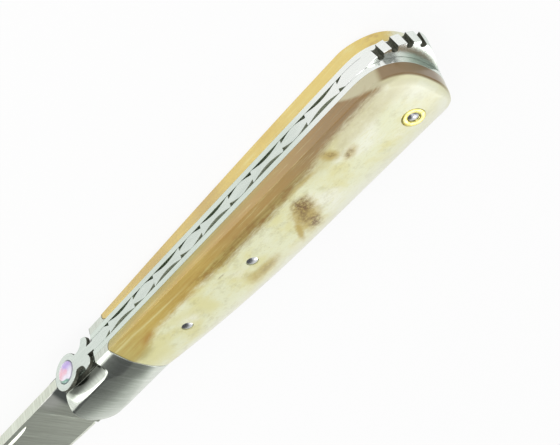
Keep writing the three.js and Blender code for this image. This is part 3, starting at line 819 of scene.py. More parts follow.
@dataclass(frozen=True)
class OpalFinish:
    """A milky opal with violet, pink and green flashes, a crazed skin and a painted shadow round
    its edge.
    """

    name: str = "opal_milky"
    milk: Colour = tone(234, 230, 242)
    violet: Colour = tone(186, 158, 230)
    pink: Colour = tone(236, 170, 186)
    green: Colour = tone(70, 150, 118)
    crack_and_rim_shade: Colour = tone(120, 110, 140)
    centre_x: float = -17.2
    flakes: Triple = (1.7, 1.7, 1.7)

    def cells(self, tree: ShaderTree, feature: str) -> Any:
        """Adds the cells of the stone's flakes and gives the node's outputs."""
        return tree.node("ShaderNodeTexVoronoi", {"feature": feature}, {
            "Vector": tree.stretched(self.flakes), "Scale": 1.0, "Randomness": 1.0}).outputs

    def flash(self, tree: ShaderTree, x: float, z: float, radius: float,
              drift: Shade) -> Shade:
        """Marks one soft flash of colour.

        Args:
            tree: The stone's tree.
            x: Its middle along the knife, from the stone's middle.
            z: Its middle across the knife.
            radius: How wide it is.
            drift: Noise round 0 that bends it.

        Returns:
            1 inside and 0 outside.
        """
        across, up = tree.x - self.centre_x - x, tree.z - z
        return ((across * across + up * up) ** 0.5 / radius + drift * 0.3).fall(0.3, 1.1)

    def material(self) -> bpy.types.Material:
        """Builds the material.

        Returns:
            The material.
        """
        tree = ShaderTree(self.name)
        cell = tree.node("ShaderNodeSeparateColor", inputs={0: self.cells(tree, "F1")["Color"]})
        first, second = (Shade(tree, cell.outputs[k]) for k in range(2))
        craze = Shade(tree, self.cells(tree, "DISTANCE_TO_EDGE")["Distance"]).fall(0.0, 0.05)
        drift = (tree.noise((0.6, 0.6, 0.6), 4, 0.5, (2.0, 2.0, 6.0)) - 0.5) * 2.0
        across = tree.x - self.centre_x
        reach = (across * across + tree.z * tree.z) ** 0.5
        arc_side = (tree.z * 0.9 - across * 0.44 + drift * 0.3).rise(1.5, 2.0)
        green = (reach + drift * 0.1).rise(1.95, 2.15) * arc_side
        violet = self.flash(tree, 1.2, -1.1, 2.0, drift) * (0.75 + second * 0.25)
        roses = [self.flash(tree, *place, drift) * (0.6 + first * 0.35)
                 for place in ((-0.9, 0.2, 1.7), (0.7, 0.6, 0.9), (-1.9, 0.9, 0.9))]
        base = tree.layered(
            self.milk, (violet, self.violet), *((rose, self.pink) for rose in roses),
            # Painted shadow: a dark ring round the stone's edge where it sits in its seat; the
            # crazing takes the same colour.
            (green * 0.85, self.green), (reach.rise(2.42, 2.52) * 0.5, self.crack_and_rim_shade),
            (craze * 0.14, self.crack_and_rim_shade))
        return tree.surface(base, 0.18 + first * 0.08, 0.0, second, 0.01,
                            {"Coat Weight": 0.8, "Coat Roughness": 0.04, "IOR": 1.45})


class Finish(Enum):
    """The knife's finishes, by the piece that they belong to."""

    SPRING = SteelFinish("spring_polished_steel", tone(230, 238, 230), tone(200, 210, 202),
                         0.24, (0.35, 3.0, 5.0), 0.28, butt_highlight_share=0.62)
    # Painted shade: dark filed steel for the hollow under the bee, the bee's sides and underside,
    # the nose beside its neck and the crest's notches.
    RECESS = RecessFinish("filed_recess_shaded_steel", tone(116, 118, 104), tone(50, 50, 42))
    FILED = RecessFinish("file_work_steel", tone(196, 202, 182), tone(162, 168, 146))
    LINER = SteelFinish("liner_polished_steel", tone(230, 240, 230), tone(202, 212, 203),
                        0.22, (0.3, 2.0, 6.0), 0.25, butt_highlight_share=0.62)
    BOLSTER = SteelFinish("bolster_satin_steel", tone(230, 236, 226), tone(188, 194, 182),
                          0.17, (5.0, 0.22, 0.22), 0.4, 0.003, hollow_shade=0.9)
    BLADE = SteelFinish("blade_satin_steel", tone(244, 250, 236), tone(196, 200, 184),
                        0.38, (5.5, 0.16, 0.16), 0.5, 0.006, root_shade=0.88)
    PIN = SteelFinish("pin_polished_steel", tone(222, 224, 226), tone(178, 180, 184),
                      0.2, (4.0, 4.0, 4.0), 0.2)
    MARK_BONE = BoneFinish("bone_mark_side", True)
    PILE_BONE = BoneFinish("bone_pile_side", False)
    BRASS = BrassFinish()
    OPAL = OpalFinish()

    def material(self) -> bpy.types.Material:
        """Gives the finish's material, built the first time that it is asked for."""
        made = bpy.data.materials.get(self.value.name)
        return made if made is not None else self.value.material()


class Plane(Enum):
    """The plane in which an outline is drawn."""

    SIDE = "seen from the side"
    TOP = "seen from the back"


def sleeve(mesh: bmesh.types.BMesh, rings: Sequence[Sequence[bmesh.types.BMVert]]) -> None:
    """Joins each closed ring of corners to the next one with a band of faces."""
    for first, second in zip(rings, rings[1:]):
        for i, corner in enumerate(first):
            j = (i + 1) % len(first)
            mesh.faces.new((corner, first[j], second[j], second[i]))


class Workpiece:
    """A closed mesh in the maker's frame, until it is placed in the scene."""

    def __init__(self, mesh: bmesh.types.BMesh) -> None:
        """Takes over a finished mesh, cleans it and turns its faces outwards.

        Args:
            mesh: The mesh, which is used up.
        """
        bmesh.ops.remove_doubles(mesh, verts=mesh.verts, dist=1e-4)
        bmesh.ops.dissolve_degenerate(mesh, edges=mesh.edges, dist=1e-4)
        bmesh.ops.recalc_face_normals(mesh, faces=mesh.faces)
        data = bpy.data.meshes.new("workpiece")
        mesh.to_mesh(data)
        mesh.free()
        self.body = linked("workpiece", data)

    @classmethod
    def skin(cls, rings: Sequence[np.ndarray],
             caps: Sequence[bool] = (True, True)) -> "Workpiece":
        """Skins rings of points.

        Args:
            rings: Closed rings, each with as many points as the others.
            caps: Whether the first and the last ring are closed with a face.

        Returns:
            The piece.
        """
        mesh = bmesh.new()
        made = [[mesh.verts.new(point) for point in ring] for ring in rings]
        sleeve(mesh, made)
        for ring, cap in zip((made[0], made[-1]), caps):
            if cap:
                mesh.faces.new(ring)
        return cls(mesh)

    @classmethod
    def prism(cls, outline: np.ndarray, low: float, high: float, plane: Plane = Plane.SIDE,
              edge: float = 0.0, segments: int = 2) -> "Workpiece":
        """Raises an outline to a thickness and eases its rims.

        Args:
            outline: Its points, one in each row.
            low: Where it starts across its plane.
            high: Where it ends.
            plane: The plane that it is drawn in.
            edge: The width of the eased rims.
            segments: How many faces an eased rim has.

        Returns:
            The piece.
        """
        mesh = bmesh.new()
        rims = []
        for level in (low, high):
            corners = [mesh.verts.new((a, b, level) if plane is Plane.SIDE else (a, level, b))
                       for a, b in outline]
            rims.append(mesh.faces.new(corners))
        sleeve(mesh, [list(rim.verts) for rim in rims])
        bmesh.ops.recalc_face_normals(mesh, faces=mesh.faces)
        if edge > 0:
            edges = list({line for rim in rims for line in rim.edges})
            bmesh.ops.bevel(mesh, geom=edges, offset=edge, segments=segments, profile=0.5,
                            affect="EDGES", clamp_overlap=True)
        return cls(mesh)

    @classmethod
    def turned(cls, profile: Sequence[Pair], centre: Pair,
               faces: int = 48, plane: Plane = Plane.SIDE) -> "Workpiece":
        """Turns a profile round an axis across its plane.

        Args:
            profile: Radius and height, from one end of the axis to the other or to itself.
            centre: Where the axis stands in the plane.
            faces: How many faces go round.
            plane: The plane that the axis crosses.

        Returns:
            The piece.
        """
        angles = np.radians(np.arange(faces) * 360 / faces)
        rings = []
        for radius, height in profile:
            a, b = centre[0] + radius * np.cos(angles), centre[1] + radius * np.sin(angles)
            level = np.full(faces, height)
            rings.append(np.column_stack([a, b, level] if plane is Plane.SIDE
                                         else [a, level, b]))
        ends = (profile[0], profile[-1])
        return cls.skin(rings, [ends[0] != ends[1] and radius > 0 for radius, _ in ends])

    def scaled(self, x: float, y: float, z: float) -> "Workpiece":
        """Scales or mirrors the piece about the frame's origin."""
        self.body.data.transform(Matrix.Diagonal((x, y, z, 1)))
        if x * y * z < 0:
            self.body.data.flip_normals()
        return self

    def moved(self, move: Callable[[Vector], Vector]) -> "Workpiece":
        """Moves every point as a function says."""
        for vertex in self.body.data.vertices:
            vertex.co = move(vertex.co.copy())
        return self

    def twin(self) -> "Workpiece":
        """Makes a copy of the piece on the pile side.

        Returns:
            The copy.
        """
        other = object.__new__(Workpiece)
        other.body = self.body.copy()
        other.body.data = self.body.data.copy()
        bpy.context.scene.collection.objects.link(other.body)
        return other.scaled(1, 1, -1)

    def paint(self, index: int) -> "Workpiece":
        """Gives all its faces the finish of that number."""
        for face in self.body.data.polygons:
            face.material_index = index
        return self

    def paint_where(self, test: Callable[[Vector, Vector], bool], index: int) -> "Workpiece":
        """Gives the faces that a test of middle and normal picks the finish of that number."""
        for face in self.body.data.polygons:
            if test(face.center, face.normal):
                face.material_index = index
        return self

    def combined(self, operation: str, others: Sequence["Workpiece"]) -> "Workpiece":
        """Cuts or joins other pieces and uses them up.

        Args:
            operation: Blender's name for the Boolean operation.
            others: The other pieces, taken in this order.

        Returns:
            The piece itself.
        """
        for other in others:
            for item in (self.body, other.body):
                while len(item.data.materials) < 3:
                    item.data.materials.append(None)
            modifier = self.body.modifiers.new("work", "BOOLEAN")
            modifier.operation = operation
            modifier.solver = "EXACT"
            modifier.material_mode = "INDEX"
            modifier.object = other.body
            depsgraph = bpy.context.evaluated_depsgraph_get()
            data = bpy.data.meshes.new_from_object(self.body.evaluated_get(depsgraph))
            self.body.modifiers.clear()
            self.body.data = data
            bpy.data.objects.remove(other.body)
        return self

    def cut(self, *others: "Workpiece") -> "Workpiece":
        """Cuts other pieces away."""
        return self.combined("DIFFERENCE", others)

    def join(self, *others: "Workpiece") -> "Workpiece":
        """Joins other pieces on."""
        return self.combined("UNION", others)

    def beside(self, other: "Workpiece") -> "Workpiece":
        """Takes in another closed body that only touches this one, and uses it up.

        Args:
            other: That body.

        Returns:
            The piece itself.
        """
        mesh = bmesh.new()
        mesh.from_mesh(self.body.data)
        mesh.from_mesh(other.body.data)
        mesh.to_mesh(self.body.data)
        mesh.free()
        bpy.data.objects.remove(other.body)
        return self

    def place(self, name: str, finishes: Sequence[Finish], slot: str, *nodes: str,
              sharp: float = 32.0) -> bpy.types.Object:
        """Puts the piece in the scene, in metres, with its finish.

        Args:
            name: The piece's name.
            finishes: Its finishes, by the numbers on its faces.
            slot: Not used.
            nodes: The CAD nodes that it stands for.
            sharp: The angle in degrees from which an edge shows.

        Returns:
            The placed object.
        """
        data = self.body.data
        data.transform(BENCH.matrix())
        numbers = [min(face.material_index, len(finishes) - 1) for face in data.polygons]
        data.materials.clear()
        for finish in finishes:
            data.materials.append(finish.material())
        data.polygons.foreach_set("material_index", numbers)
        data.shade_smooth()
        data.set_sharp_from_angle(angle=math.radians(sharp))
        self.body.modifiers.new("even_normals", "WEIGHTED_NORMAL").keep_sharp = True
        self.body.name = data.name = name
        if nodes:
            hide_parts(*nodes)
        LOG.info("%s: %d faces for %s", name, len(data.polygons), ", ".join(nodes) or "itself")
        return self.body


def inward_steps(loop: np.ndarray) -> np.ndarray:
    """Finds the mitred steps inwards from an outline's corners, for a rim 1 mm wide.

    Args:
        loop: The corners of the closed outline, one in each row.

    Returns:
        The step of each corner.
    """
    along = np.roll(loop, -1, axis=0) - loop
    along /= np.maximum(np.linalg.norm(along, axis=1, keepdims=True), 1e-9)
    area = np.sum(loop[:, 0] * np.roll(loop[:, 1], -1) - loop[:, 1] * np.roll(loop[:, 0], -1))
    after = math.copysign(1.0, area) * np.column_stack([-along[:, 1], along[:, 0]])
    before = np.roll(after, 1, axis=0)
    return (before + after) / np.maximum(1 + np.sum(before * after, axis=1), 0.4)[:, None]


def row_shares(wall_end: float, wall_rows: int, face_rows: int, power: float) -> np.ndarray:
    """Spaces a side piece's rows between the back and the belly.

    Args:
        wall_end: The share where the close rows along the back end.
        wall_rows: How many rows those are.
        face_rows: How many rows cross the flat of the face.
        power: How much closer the rows get towards the belly.

    Returns:
        The share of the depth of each row.
    """
    first, last = FLAT_SHARES
    belly = 1 - BELLY_SHARE * np.linspace(1, 0, BELLY_ROWS) ** power
    return np.concatenate([np.linspace(0, wall_end, wall_rows),
                           np.linspace(first, last, face_rows), belly])


def along_path(path: np.ndarray, shares: np.ndarray) -> np.ndarray:
    """Gives the points that lie at shares of a path's length."""
    length = np.concatenate([[0], np.cumsum(np.linalg.norm(np.diff(path, axis=0), axis=1))])
    return np.column_stack([np.interp(shares * length[-1], length, column)
                            for column in path.T])


@dataclass(frozen=True)
class HandleForm:
    """The handle's outline and cross section, shared by its liners, bolsters and scales."""

    liner_inside: float = 1.5
    liner_outside: float = 2.85
    crown_top: float = 6.5
    joint_x: float = -1.8
    butt_x: float = 90.6
    bolster_depth: float = 16.7
    handle_depth: float = 20.3
    belly_peak_x: float = 50.0
    belly_swell: float = 2.2
    butt_reach: float = 11.0
    butt_power: float = 2.5
    front_x: float = -27.4
    front_reach: float = 11.0
    front_depth: float = 12.0
    front_power: float = 1.7
    chin_reach: float = 5.4
    chin_power: float = 2.4
    back_wall: float = 1.9
    back_wall_rise: float = 1.55
    back_wall_power: float = 1.6
    back_wall_full_x: float = 70.0
    bevel_depth: float = 6.2
    bevel_power: float = 1.3
    belly_margin: float = 8.0
    belly_wall: float = 0.5
    butt_round: float = 2.6
    butt_drop: float = 1.35
    butt_lift_x: float = 82.6
    butt_top_x: float = 86.4
    scale_corner: float = 1.3
    taper_start_x: float = -4.0
    taper_drop: float = 2.6
    taper_power: float = 2.2
    hollow_end_x: float = -6.8
    hollow_depth: float = 2.1
    hollow_corner: float = 1.6
    hollow_rise_x: float = -14.5
    hollow_front_depth: float = 1.1
    hollow_round_floor: float = 0.1
    hollow_round_line: float = 10.5
    hollow_round_power: float = 2.1
    hollow_round_loss: float = 1.3
    hollow_round_least: float = 1.03
    edge_x: float = -20.0
    edge_depth: float = 1.2
    edge_slope: float = 0.43
    edge_blend: float = 0.5
    dome_drop: float = 0.6
    dome_depth: float = 5.5
    dome_reach: float = 8.0
    dome_fade: float = 6.0
    collar_blend: float = 0.15
    cap_slope: float = 0.12
    ridge_drop: float = 0.28
    ridge_depth: float = 1.3
    surface_blend: float = 0.12
    nose_x: float = -21.55

    @property
    def butt_centre(self) -> Pair:
        """The middle of the butt's round."""
        return self.butt_x - self.butt_reach, -self.handle_depth / 2

    def belly(self, x: Any) -> Any:
        """How deep the handle is at a place along it."""
        share = np.clip((x - self.joint_x) / (self.belly_peak_x - self.joint_x), 0, 1)
        swell = 1 - (1 - share) ** self.belly_swell
        return self.bolster_depth + (self.handle_depth - self.bolster_depth) * swell

    def butt_corner(self, start: float, end: float, steps: int) -> np.ndarray:
        """Part of the butt's outline between two angles in degrees."""
        return superellipse(self.butt_centre, (self.butt_reach, self.handle_depth / 2),
                            self.butt_power, start, end, steps)

    def front_corner(self, start: float, end: float, steps: int) -> np.ndarray:
        """Part of the bolster's upper front between two angles in degrees."""
        return superellipse((self.front_x + self.front_reach, -self.front_depth),
                            (self.front_reach, self.front_depth), self.front_power,
                            start, end, steps)

    def chin_corner(self, start: float, end: float, steps: int) -> np.ndarray:
        """Part of the bolster's lower front between two angles in degrees."""
        reach = (self.chin_reach, self.bolster_depth - self.front_depth)
        return superellipse((self.front_x + self.chin_reach, -self.front_depth), reach,
                            self.chin_power, start, end, steps)

    def belly_line(self, start: float, end: float, steps: int) -> np.ndarray:
        """The belly's outline between two places."""
        x = np.linspace(start, end, steps + 1)
        return np.column_stack([x, -self.belly(x)])

    def hollow(self, x: Any) -> Any:
        """How deep the back is filed down under the bee, at a place along it.

        Args:
            x: A place along the handle, or many.

        Returns:
            The depth, which is 0 behind the hollow.
        """
        corner_x = self.hollow_end_x - self.hollow_corner
        rise = np.clip((self.hollow_rise_x - x) / (self.hollow_rise_x - self.nose_x), 0, 1)
        floor = self.hollow_depth - (self.hollow_depth - self.hollow_front_depth) * rise ** 2
        across = np.clip(x - corner_x, 0, self.hollow_corner)
        fillet = (self.hollow_depth - self.hollow_corner
                  + np.sqrt(self.hollow_corner ** 2 - across ** 2))
        return np.where(x > self.hollow_end_x, 0.0, np.where(x > corner_x, fillet, floor))

    def hollow_line(self, steps: int) -> np.ndarray:
        """The hollow's edge, from the bolster's front up to the handle's back.

        Args:
            steps: How many points its floor has.

        Returns:
            The points, one in each row.
        """
        top = self.front_corner(180, 90, 400)
        first = top[top[:, 1] < -self.hollow(top[:, 0])]
        corner_x = self.hollow_end_x - self.hollow_corner
        floor_x = np.linspace(first[-1, 0], corner_x, steps)
        floor = np.column_stack([floor_x, -self.hollow(floor_x)])
        corner = arc((corner_x, self.hollow_corner - self.hollow_depth), self.hollow_corner,
                     -90, 0, 8)
        return np.vstack([first[::12], floor, corner[1:], [[self.hollow_end_x, 0.0]]])

    def outline(self) -> np.ndarray:
        """The whole side outline, with the hollow filed into it.

        Returns:
            The points, one in each row.
        """
        return np.vstack([
            self.butt_corner(90, -90, 64),
            self.belly_line(self.butt_centre[0], self.joint_x, 40)[1:],
            self.chin_corner(270, 180, 16),
            self.hollow_line(16)[1:],
        ])

    def back_height(self, x: Any, depth: Any) -> Any:
        """The height of the bevel and crown at a place along and below the back.

        Args:
            x: A place along the handle, or many.
            depth: Its depth below the back.

        Returns:
            The height above the middle plane.
        """
        along = np.clip((x - self.joint_x) / (self.back_wall_full_x - self.joint_x), 0, 1)
        rise = self.back_wall_rise * (1 - (1 - along) ** self.back_wall_power)
        low = self.liner_outside + self.back_wall + rise
        share = np.clip(depth / self.bevel_depth, 0, 1)
        return self.crown_top - (self.crown_top - low) * (1 - share) ** self.bevel_power

    def belly_height(self, x: Any, depth: Any) -> Any:
        """The height of the round towards the belly.

        Args:
            x: A place along the handle, or many.
            depth: Its depth below the back.

        Returns:
            The height above the middle plane.
        """
        end = self.belly(x) - self.belly_margin
        share = np.clip((depth - end) / self.belly_margin, 0, 1)
        low = self.liner_outside + self.belly_wall
        return low + (self.crown_top - low) * np.sqrt(1 - share ** 2)

    def scale_height(self, x: np.ndarray, y: np.ndarray) -> np.ndarray:
        """The height of a scale's surface, with its round butt.

        Args:
            x: Places along the handle.
            y: Places across it, negative below the back.

        Returns:
            The heights above the middle plane.
        """
        centre_x, centre_y = self.butt_centre
        across = np.clip(x - centre_x, 0, None) / self.butt_reach
        up = np.abs(y - centre_y) / (self.handle_depth / 2)
        ring = (across ** self.butt_power + up ** self.butt_power) ** (1 / self.butt_power)
        share = np.clip((1 - ring) * self.butt_reach / self.butt_round, 0, 1)
        butt = self.crown_top - self.butt_drop * (1 - np.sqrt(1 - (1 - share) ** 2))
        lift = eased(x, self.butt_lift_x, self.butt_top_x)
        back = self.back_height(x, -y) * (1 - lift) + self.crown_top * lift
        drop = eased(x, centre_x - 2, self.butt_top_x + 1)
        return np.minimum(np.minimum(back, self.belly_height(x, -y)),
                          butt * drop + self.crown_top * (1 - drop))

    def bolster_height(self, x: np.ndarray, y: np.ndarray) -> np.ndarray:
        """The height of a bolster's surface, thinner to the front and rounded at the hollow.

        Args:
            x: Places along the handle.
            y: Places across it, negative below the back.

        Returns:
            The heights above the middle plane.
        """
        share = np.clip((self.taper_start_x - x) / (self.taper_start_x - self.front_x + 1), 0, 1)
        taper = self.crown_top - self.taper_drop * share ** self.taper_power
        floor = self.hollow(np.minimum(x, self.hollow_end_x))
        line = self.edge_depth - self.edge_slope * (x - self.edge_x)
        edge = self.edge_blend * np.logaddexp(floor / self.edge_blend, line / self.edge_blend)
        inward = np.clip((-y - edge) / (self.hollow_round_line - taper - edge), 0, 1)
        along = np.clip((self.hollow_end_x - x) / (self.hollow_end_x - self.front_x), 0, 1)
        low = self.liner_outside + self.hollow_round_floor
        power = np.maximum(self.hollow_round_power - self.hollow_round_loss * along,
                           self.hollow_round_least)
        rounded = low + (taper - low) * (1 - (1 - inward) ** power)
        dome = (np.clip((-y - self.dome_depth) / self.dome_reach, 0, None) ** 2
                * np.clip((self.joint_x - x) / self.dome_fade, 0, 1))
        taper = taper - self.dome_drop * dome
        behind = eased(x, self.hollow_end_x - self.collar_blend,
                       self.hollow_end_x + self.collar_blend)
        ridge = self.ridge_drop * np.clip(1 + y / self.ridge_depth, 0, 1) ** 2
        back = self.back_height(x, -y)
        cap = back + self.cap_slope * np.clip(self.hollow_end_x - x, 0, None)
        upper = np.minimum(rounded * (1 - behind) + back * behind, cap) - ridge * behind
        heights = np.stack([upper, self.belly_height(x, -y), taper])
        lowest = heights.min(axis=0)
        spread = np.exp((lowest - heights) / self.surface_blend).sum(axis=0)
        return lowest - self.surface_blend * np.log(spread)

    def crowned(self, top: np.ndarray, bottom: np.ndarray, rows: np.ndarray, end: np.ndarray,
                height: Callable[[np.ndarray, np.ndarray], np.ndarray],
                edge: float = 0.14, floor_edge: float = 0.07) -> Workpiece:
        """Fills the lines round a side piece with a crowned surface over a flat underside.

        Args:
            top: The border along the back, from the joint on.
            bottom: The border along the belly, with as many points.
            rows: The share of the way from top to bottom of each row.
            end: The border away from the joint, from top to bottom.
            height: The surface's height at places seen from the side.
            edge: The radius of the upper rim.
            floor_edge: The width of the eased lower rim.

        Returns:
            The piece.
        """
        columns, count = len(top), len(rows)
        joint = np.column_stack([np.full(count, self.joint_x), -rows * self.bolster_depth])
        loop = np.vstack([top, end[1:-1], bottom[::-1], joint[::-1][1:-1]])
        mitre = inward_steps(loop)
        inner = loop + mitre * edge
        foot, turn = columns + count - 2, 2 * columns + count - 2
        inner_top, inner_bottom = inner[:columns], inner[foot:turn][::-1]
        inner_end = inner[columns - 1:foot + 1]
        inner_joint = np.vstack([inner[:1], inner[turn - 1:][::-1]])
        u = np.linspace(0, 1, columns)[:, None, None]
        v = rows[None, :, None]
        grid = ((1 - v) * inner_top[:, None] + v * inner_bottom[:, None]
                + (1 - u) * inner_joint[None] + u * inner_end[None]
                - (1 - u) * (1 - v) * inner_top[0] - u * (1 - v) * inner_top[-1]
                - (1 - u) * v * inner_bottom[0] - u * v * inner_bottom[-1])
        rim = height(inner[:, 0], inner[:, 1])
        levels = [(loop + mitre * floor_edge, np.full(len(loop), self.liner_outside)),
                  (loop, np.full(len(loop), self.liner_outside + floor_edge))]
        for angle in np.radians([0, 22.5, 45, 67.5]):
            levels.append((loop + mitre * edge * (1 - math.cos(angle)),
                           rim - edge * (1 - math.sin(angle))))
        mesh = bmesh.new()
        rings = [[mesh.verts.new((x, y, z)) for (x, y), z in zip(flat, heights)]
                 for flat, heights in levels]
        surface = height(grid[..., 0], grid[..., 1])
        cells = [[mesh.verts.new((*grid[i, j], surface[i, j])) for j in range(count)]
                 for i in range(columns)]
        rings.append([column[0] for column in cells] + cells[-1][1:-1]
                     + [column[-1] for column in cells[::-1]] + cells[0][-2:0:-1])
        sleeve(mesh, rings)
        for near, far in zip(cells, cells[1:]):
            for j in range(count - 1):
                mesh.faces.new((near[j], far[j], far[j + 1], near[j + 1]))
        mesh.faces.new(rings[0])
        return Workpiece(mesh)


FORM = HandleForm()


def in_hollow(middle: Vector, normal: Vector) -> bool:
    """Tells whether a face is the filed floor of the hollow under the bee."""
    slack, least_up, most_sideways = 0.4, 0.5, 0.3
    return (FORM.nose_x - 1 < middle.x < FORM.hollow_end_x + 0.1 and normal.y > least_up
            and abs(normal.z) < most_sideways and middle.y > -FORM.hollow_depth - slack)


def joint_filler(start: float, radius: float, top: float, depth: float) -> Workpiece:
    """Makes the bolster's toe that fills the scale's rounded corner at the joint.

    Args:
        start: Where it starts, in front of the joint.
        radius: How round it is, less than the scale's corner where it has to clear it.
        top: How far the toe reaches out of the back.
        depth: How far it reaches below the back.

    Returns:
        The toe of the mark side.
    """
    front_x, centre_x = FORM.joint_x - start, FORM.joint_x + FORM.scale_corner
    low, centre_z = FORM.liner_outside + 0.005, FORM.liner_outside + FORM.scale_corner
    outline = np.vstack([[[front_x, low], [centre_x, low]],
                         arc((centre_x, centre_z), radius, -90, -180, 10),
                         [[front_x, centre_z]]])
    return Workpiece.prism(outline, -depth, top, Plane.TOP)


def ride_both(name: str, piece: Workpiece, finishes: Sequence[Finish], slot: str,
              sharp: float = 32.0, pile_finishes: Sequence[Finish] | None = None) -> None:
    """Places a handle piece and its twin on the pile side.

    Args:
        name: The name that both share, which is also that of their CAD nodes.
        piece: The piece of the mark side.
        finishes: Its finishes.
        slot: A material slot's name, handed on to Workpiece.place.
        sharp: The angle in degrees from which an edge shows.
        pile_finishes: The twin's finishes, where they differ.
    """
    twin = piece.twin()
    for side, item, given in (("mark", piece, finishes),
                              ("pile", twin, pile_finishes or finishes)):
        placed = item.place(f"{name}_{side}_made", given, slot, f"{name}_{side}", sharp=sharp)
        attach(placed, "handle")


@dataclass(frozen=True)
class Liners:
    """The two liner plates between the spring and the sides."""

    edge: float = 0.07

    def build(self) -> None:
        """Builds both liners."""
        plate = Workpiece.prism(FORM.outline(), FORM.liner_inside, FORM.liner_outside,
                                edge=self.edge)
        # Painted shade: the hollow's floor under the bee takes the dark recess finish.
        plate.paint_where(in_hollow, 1)
        ride_both("liner", plate, [Finish.LINER, Finish.RECESS], "liner_steel")


@dataclass(frozen=True)
class Bolsters:
    """The two steel bolsters at the handle's front."""

    front_angle: float = 158.0
    chin_angle: float = 214.0
    close_steps: Triple = (0.4, 0.2, 0.1)

    def build(self) -> None:
        """Builds both bolsters."""
        rows = row_shares(wall_end=0.34, wall_rows=22, face_rows=6, power=1.6)
        line = FORM.hollow_line(34)[::-1]
        nose = FORM.front_corner(self.front_angle, self.front_angle, 0)
        close = FORM.hollow_end_x + np.array(self.close_steps)
        back_x = np.concatenate([np.linspace(FORM.joint_x, close[0], 9), close[1:]])
        back = np.column_stack([back_x, np.zeros_like(back_x)])
        top = np.vstack([back, line[line[:, 0] > nose[0, 0]], nose])
        chin = FORM.chin_corner(270, self.chin_angle, 12)
        flat_x = np.linspace(FORM.joint_x, chin[0, 0], len(top) - len(chin) + 1)[:-1]
        bottom = np.vstack([np.column_stack([flat_x, -FORM.belly(flat_x)]), chin])
        front = np.vstack([FORM.front_corner(self.front_angle, 180, 20),
                           FORM.chin_corner(180, self.chin_angle, 20)[1:]])
        piece = FORM.crowned(top, bottom, rows, along_path(front, rows), FORM.bolster_height)
        # Painted shade: the hollow's floor under the bee takes the dark recess finish.
        piece.paint_where(in_hollow, 1)
        piece.beside(joint_filler(start=-0.001, radius=FORM.scale_corner, top=-0.005,
                                  depth=0.9))
        ride_both("bolster", piece, [Finish.BOLSTER, Finish.RECESS], "bolster_steel", sharp=38.0)


@dataclass(frozen=True)
class Pin:
    """A pin or rosette that shows in the scales."""

    x: float
    depth: float
    diameter: float


@dataclass(frozen=True)
class Scales:
    """The two bone scales, bored for their pins and rosettes."""

    front_pin: Pin = Pin(13.0, 10.0, 2.6)
    middle_pin: Pin = Pin(35.9, 10.0, 2.6)
    butt_pin: Pin = Pin(81.9, 13.2, 2.2)
    rosette: Pin = Pin(81.9, 13.2, 4.8)
    rosette_thickness: float = 1.2
    bore_gap: float = 0.03
    toe_gap: float = 0.06
    corner_angle: float = 38.0

    def bore(self, pin: Pin, low: float) -> Workpiece:
        """Makes the cutter for a pin's bore down to a height."""
        radius = pin.diameter / 2 + self.bore_gap
        high = FORM.crown_top + 2
        return Workpiece.turned([(radius, low), (radius, high)], (pin.x, -pin.depth), 64)

    def build(self) -> None:
        """Builds both scales."""
        rows = row_shares(wall_end=0.33, wall_rows=20, face_rows=7, power=1.7)
        straight = np.linspace(FORM.joint_x, FORM.butt_centre[0], 111)[:-1]
        top, bottom = (
            np.vstack([np.column_stack([straight, line]),
                       FORM.butt_corner(side * 90, side * self.corner_angle, 26)])
            for line, side in ((np.zeros_like(straight), 1), (-FORM.belly(straight), -1)))
        butt = FORM.butt_corner(self.corner_angle, -self.corner_angle, 60)
        piece = FORM.crowned(top, bottom, rows, along_path(butt, rows), FORM.scale_height)
        piece.cut(joint_filler(start=0.5, radius=FORM.scale_corner - self.toe_gap, top=1.0,
                               depth=0.95),
                  *(self.bore(pin, 0) for pin in (self.front_pin, self.middle_pin, self.butt_pin)),
                  self.bore(self.rosette, FORM.crown_top - self.rosette_thickness))
        ride_both("scale", piece, [Finish.MARK_BONE], "bone", sharp=40.0,
                  pile_finishes=[Finish.PILE_BONE])


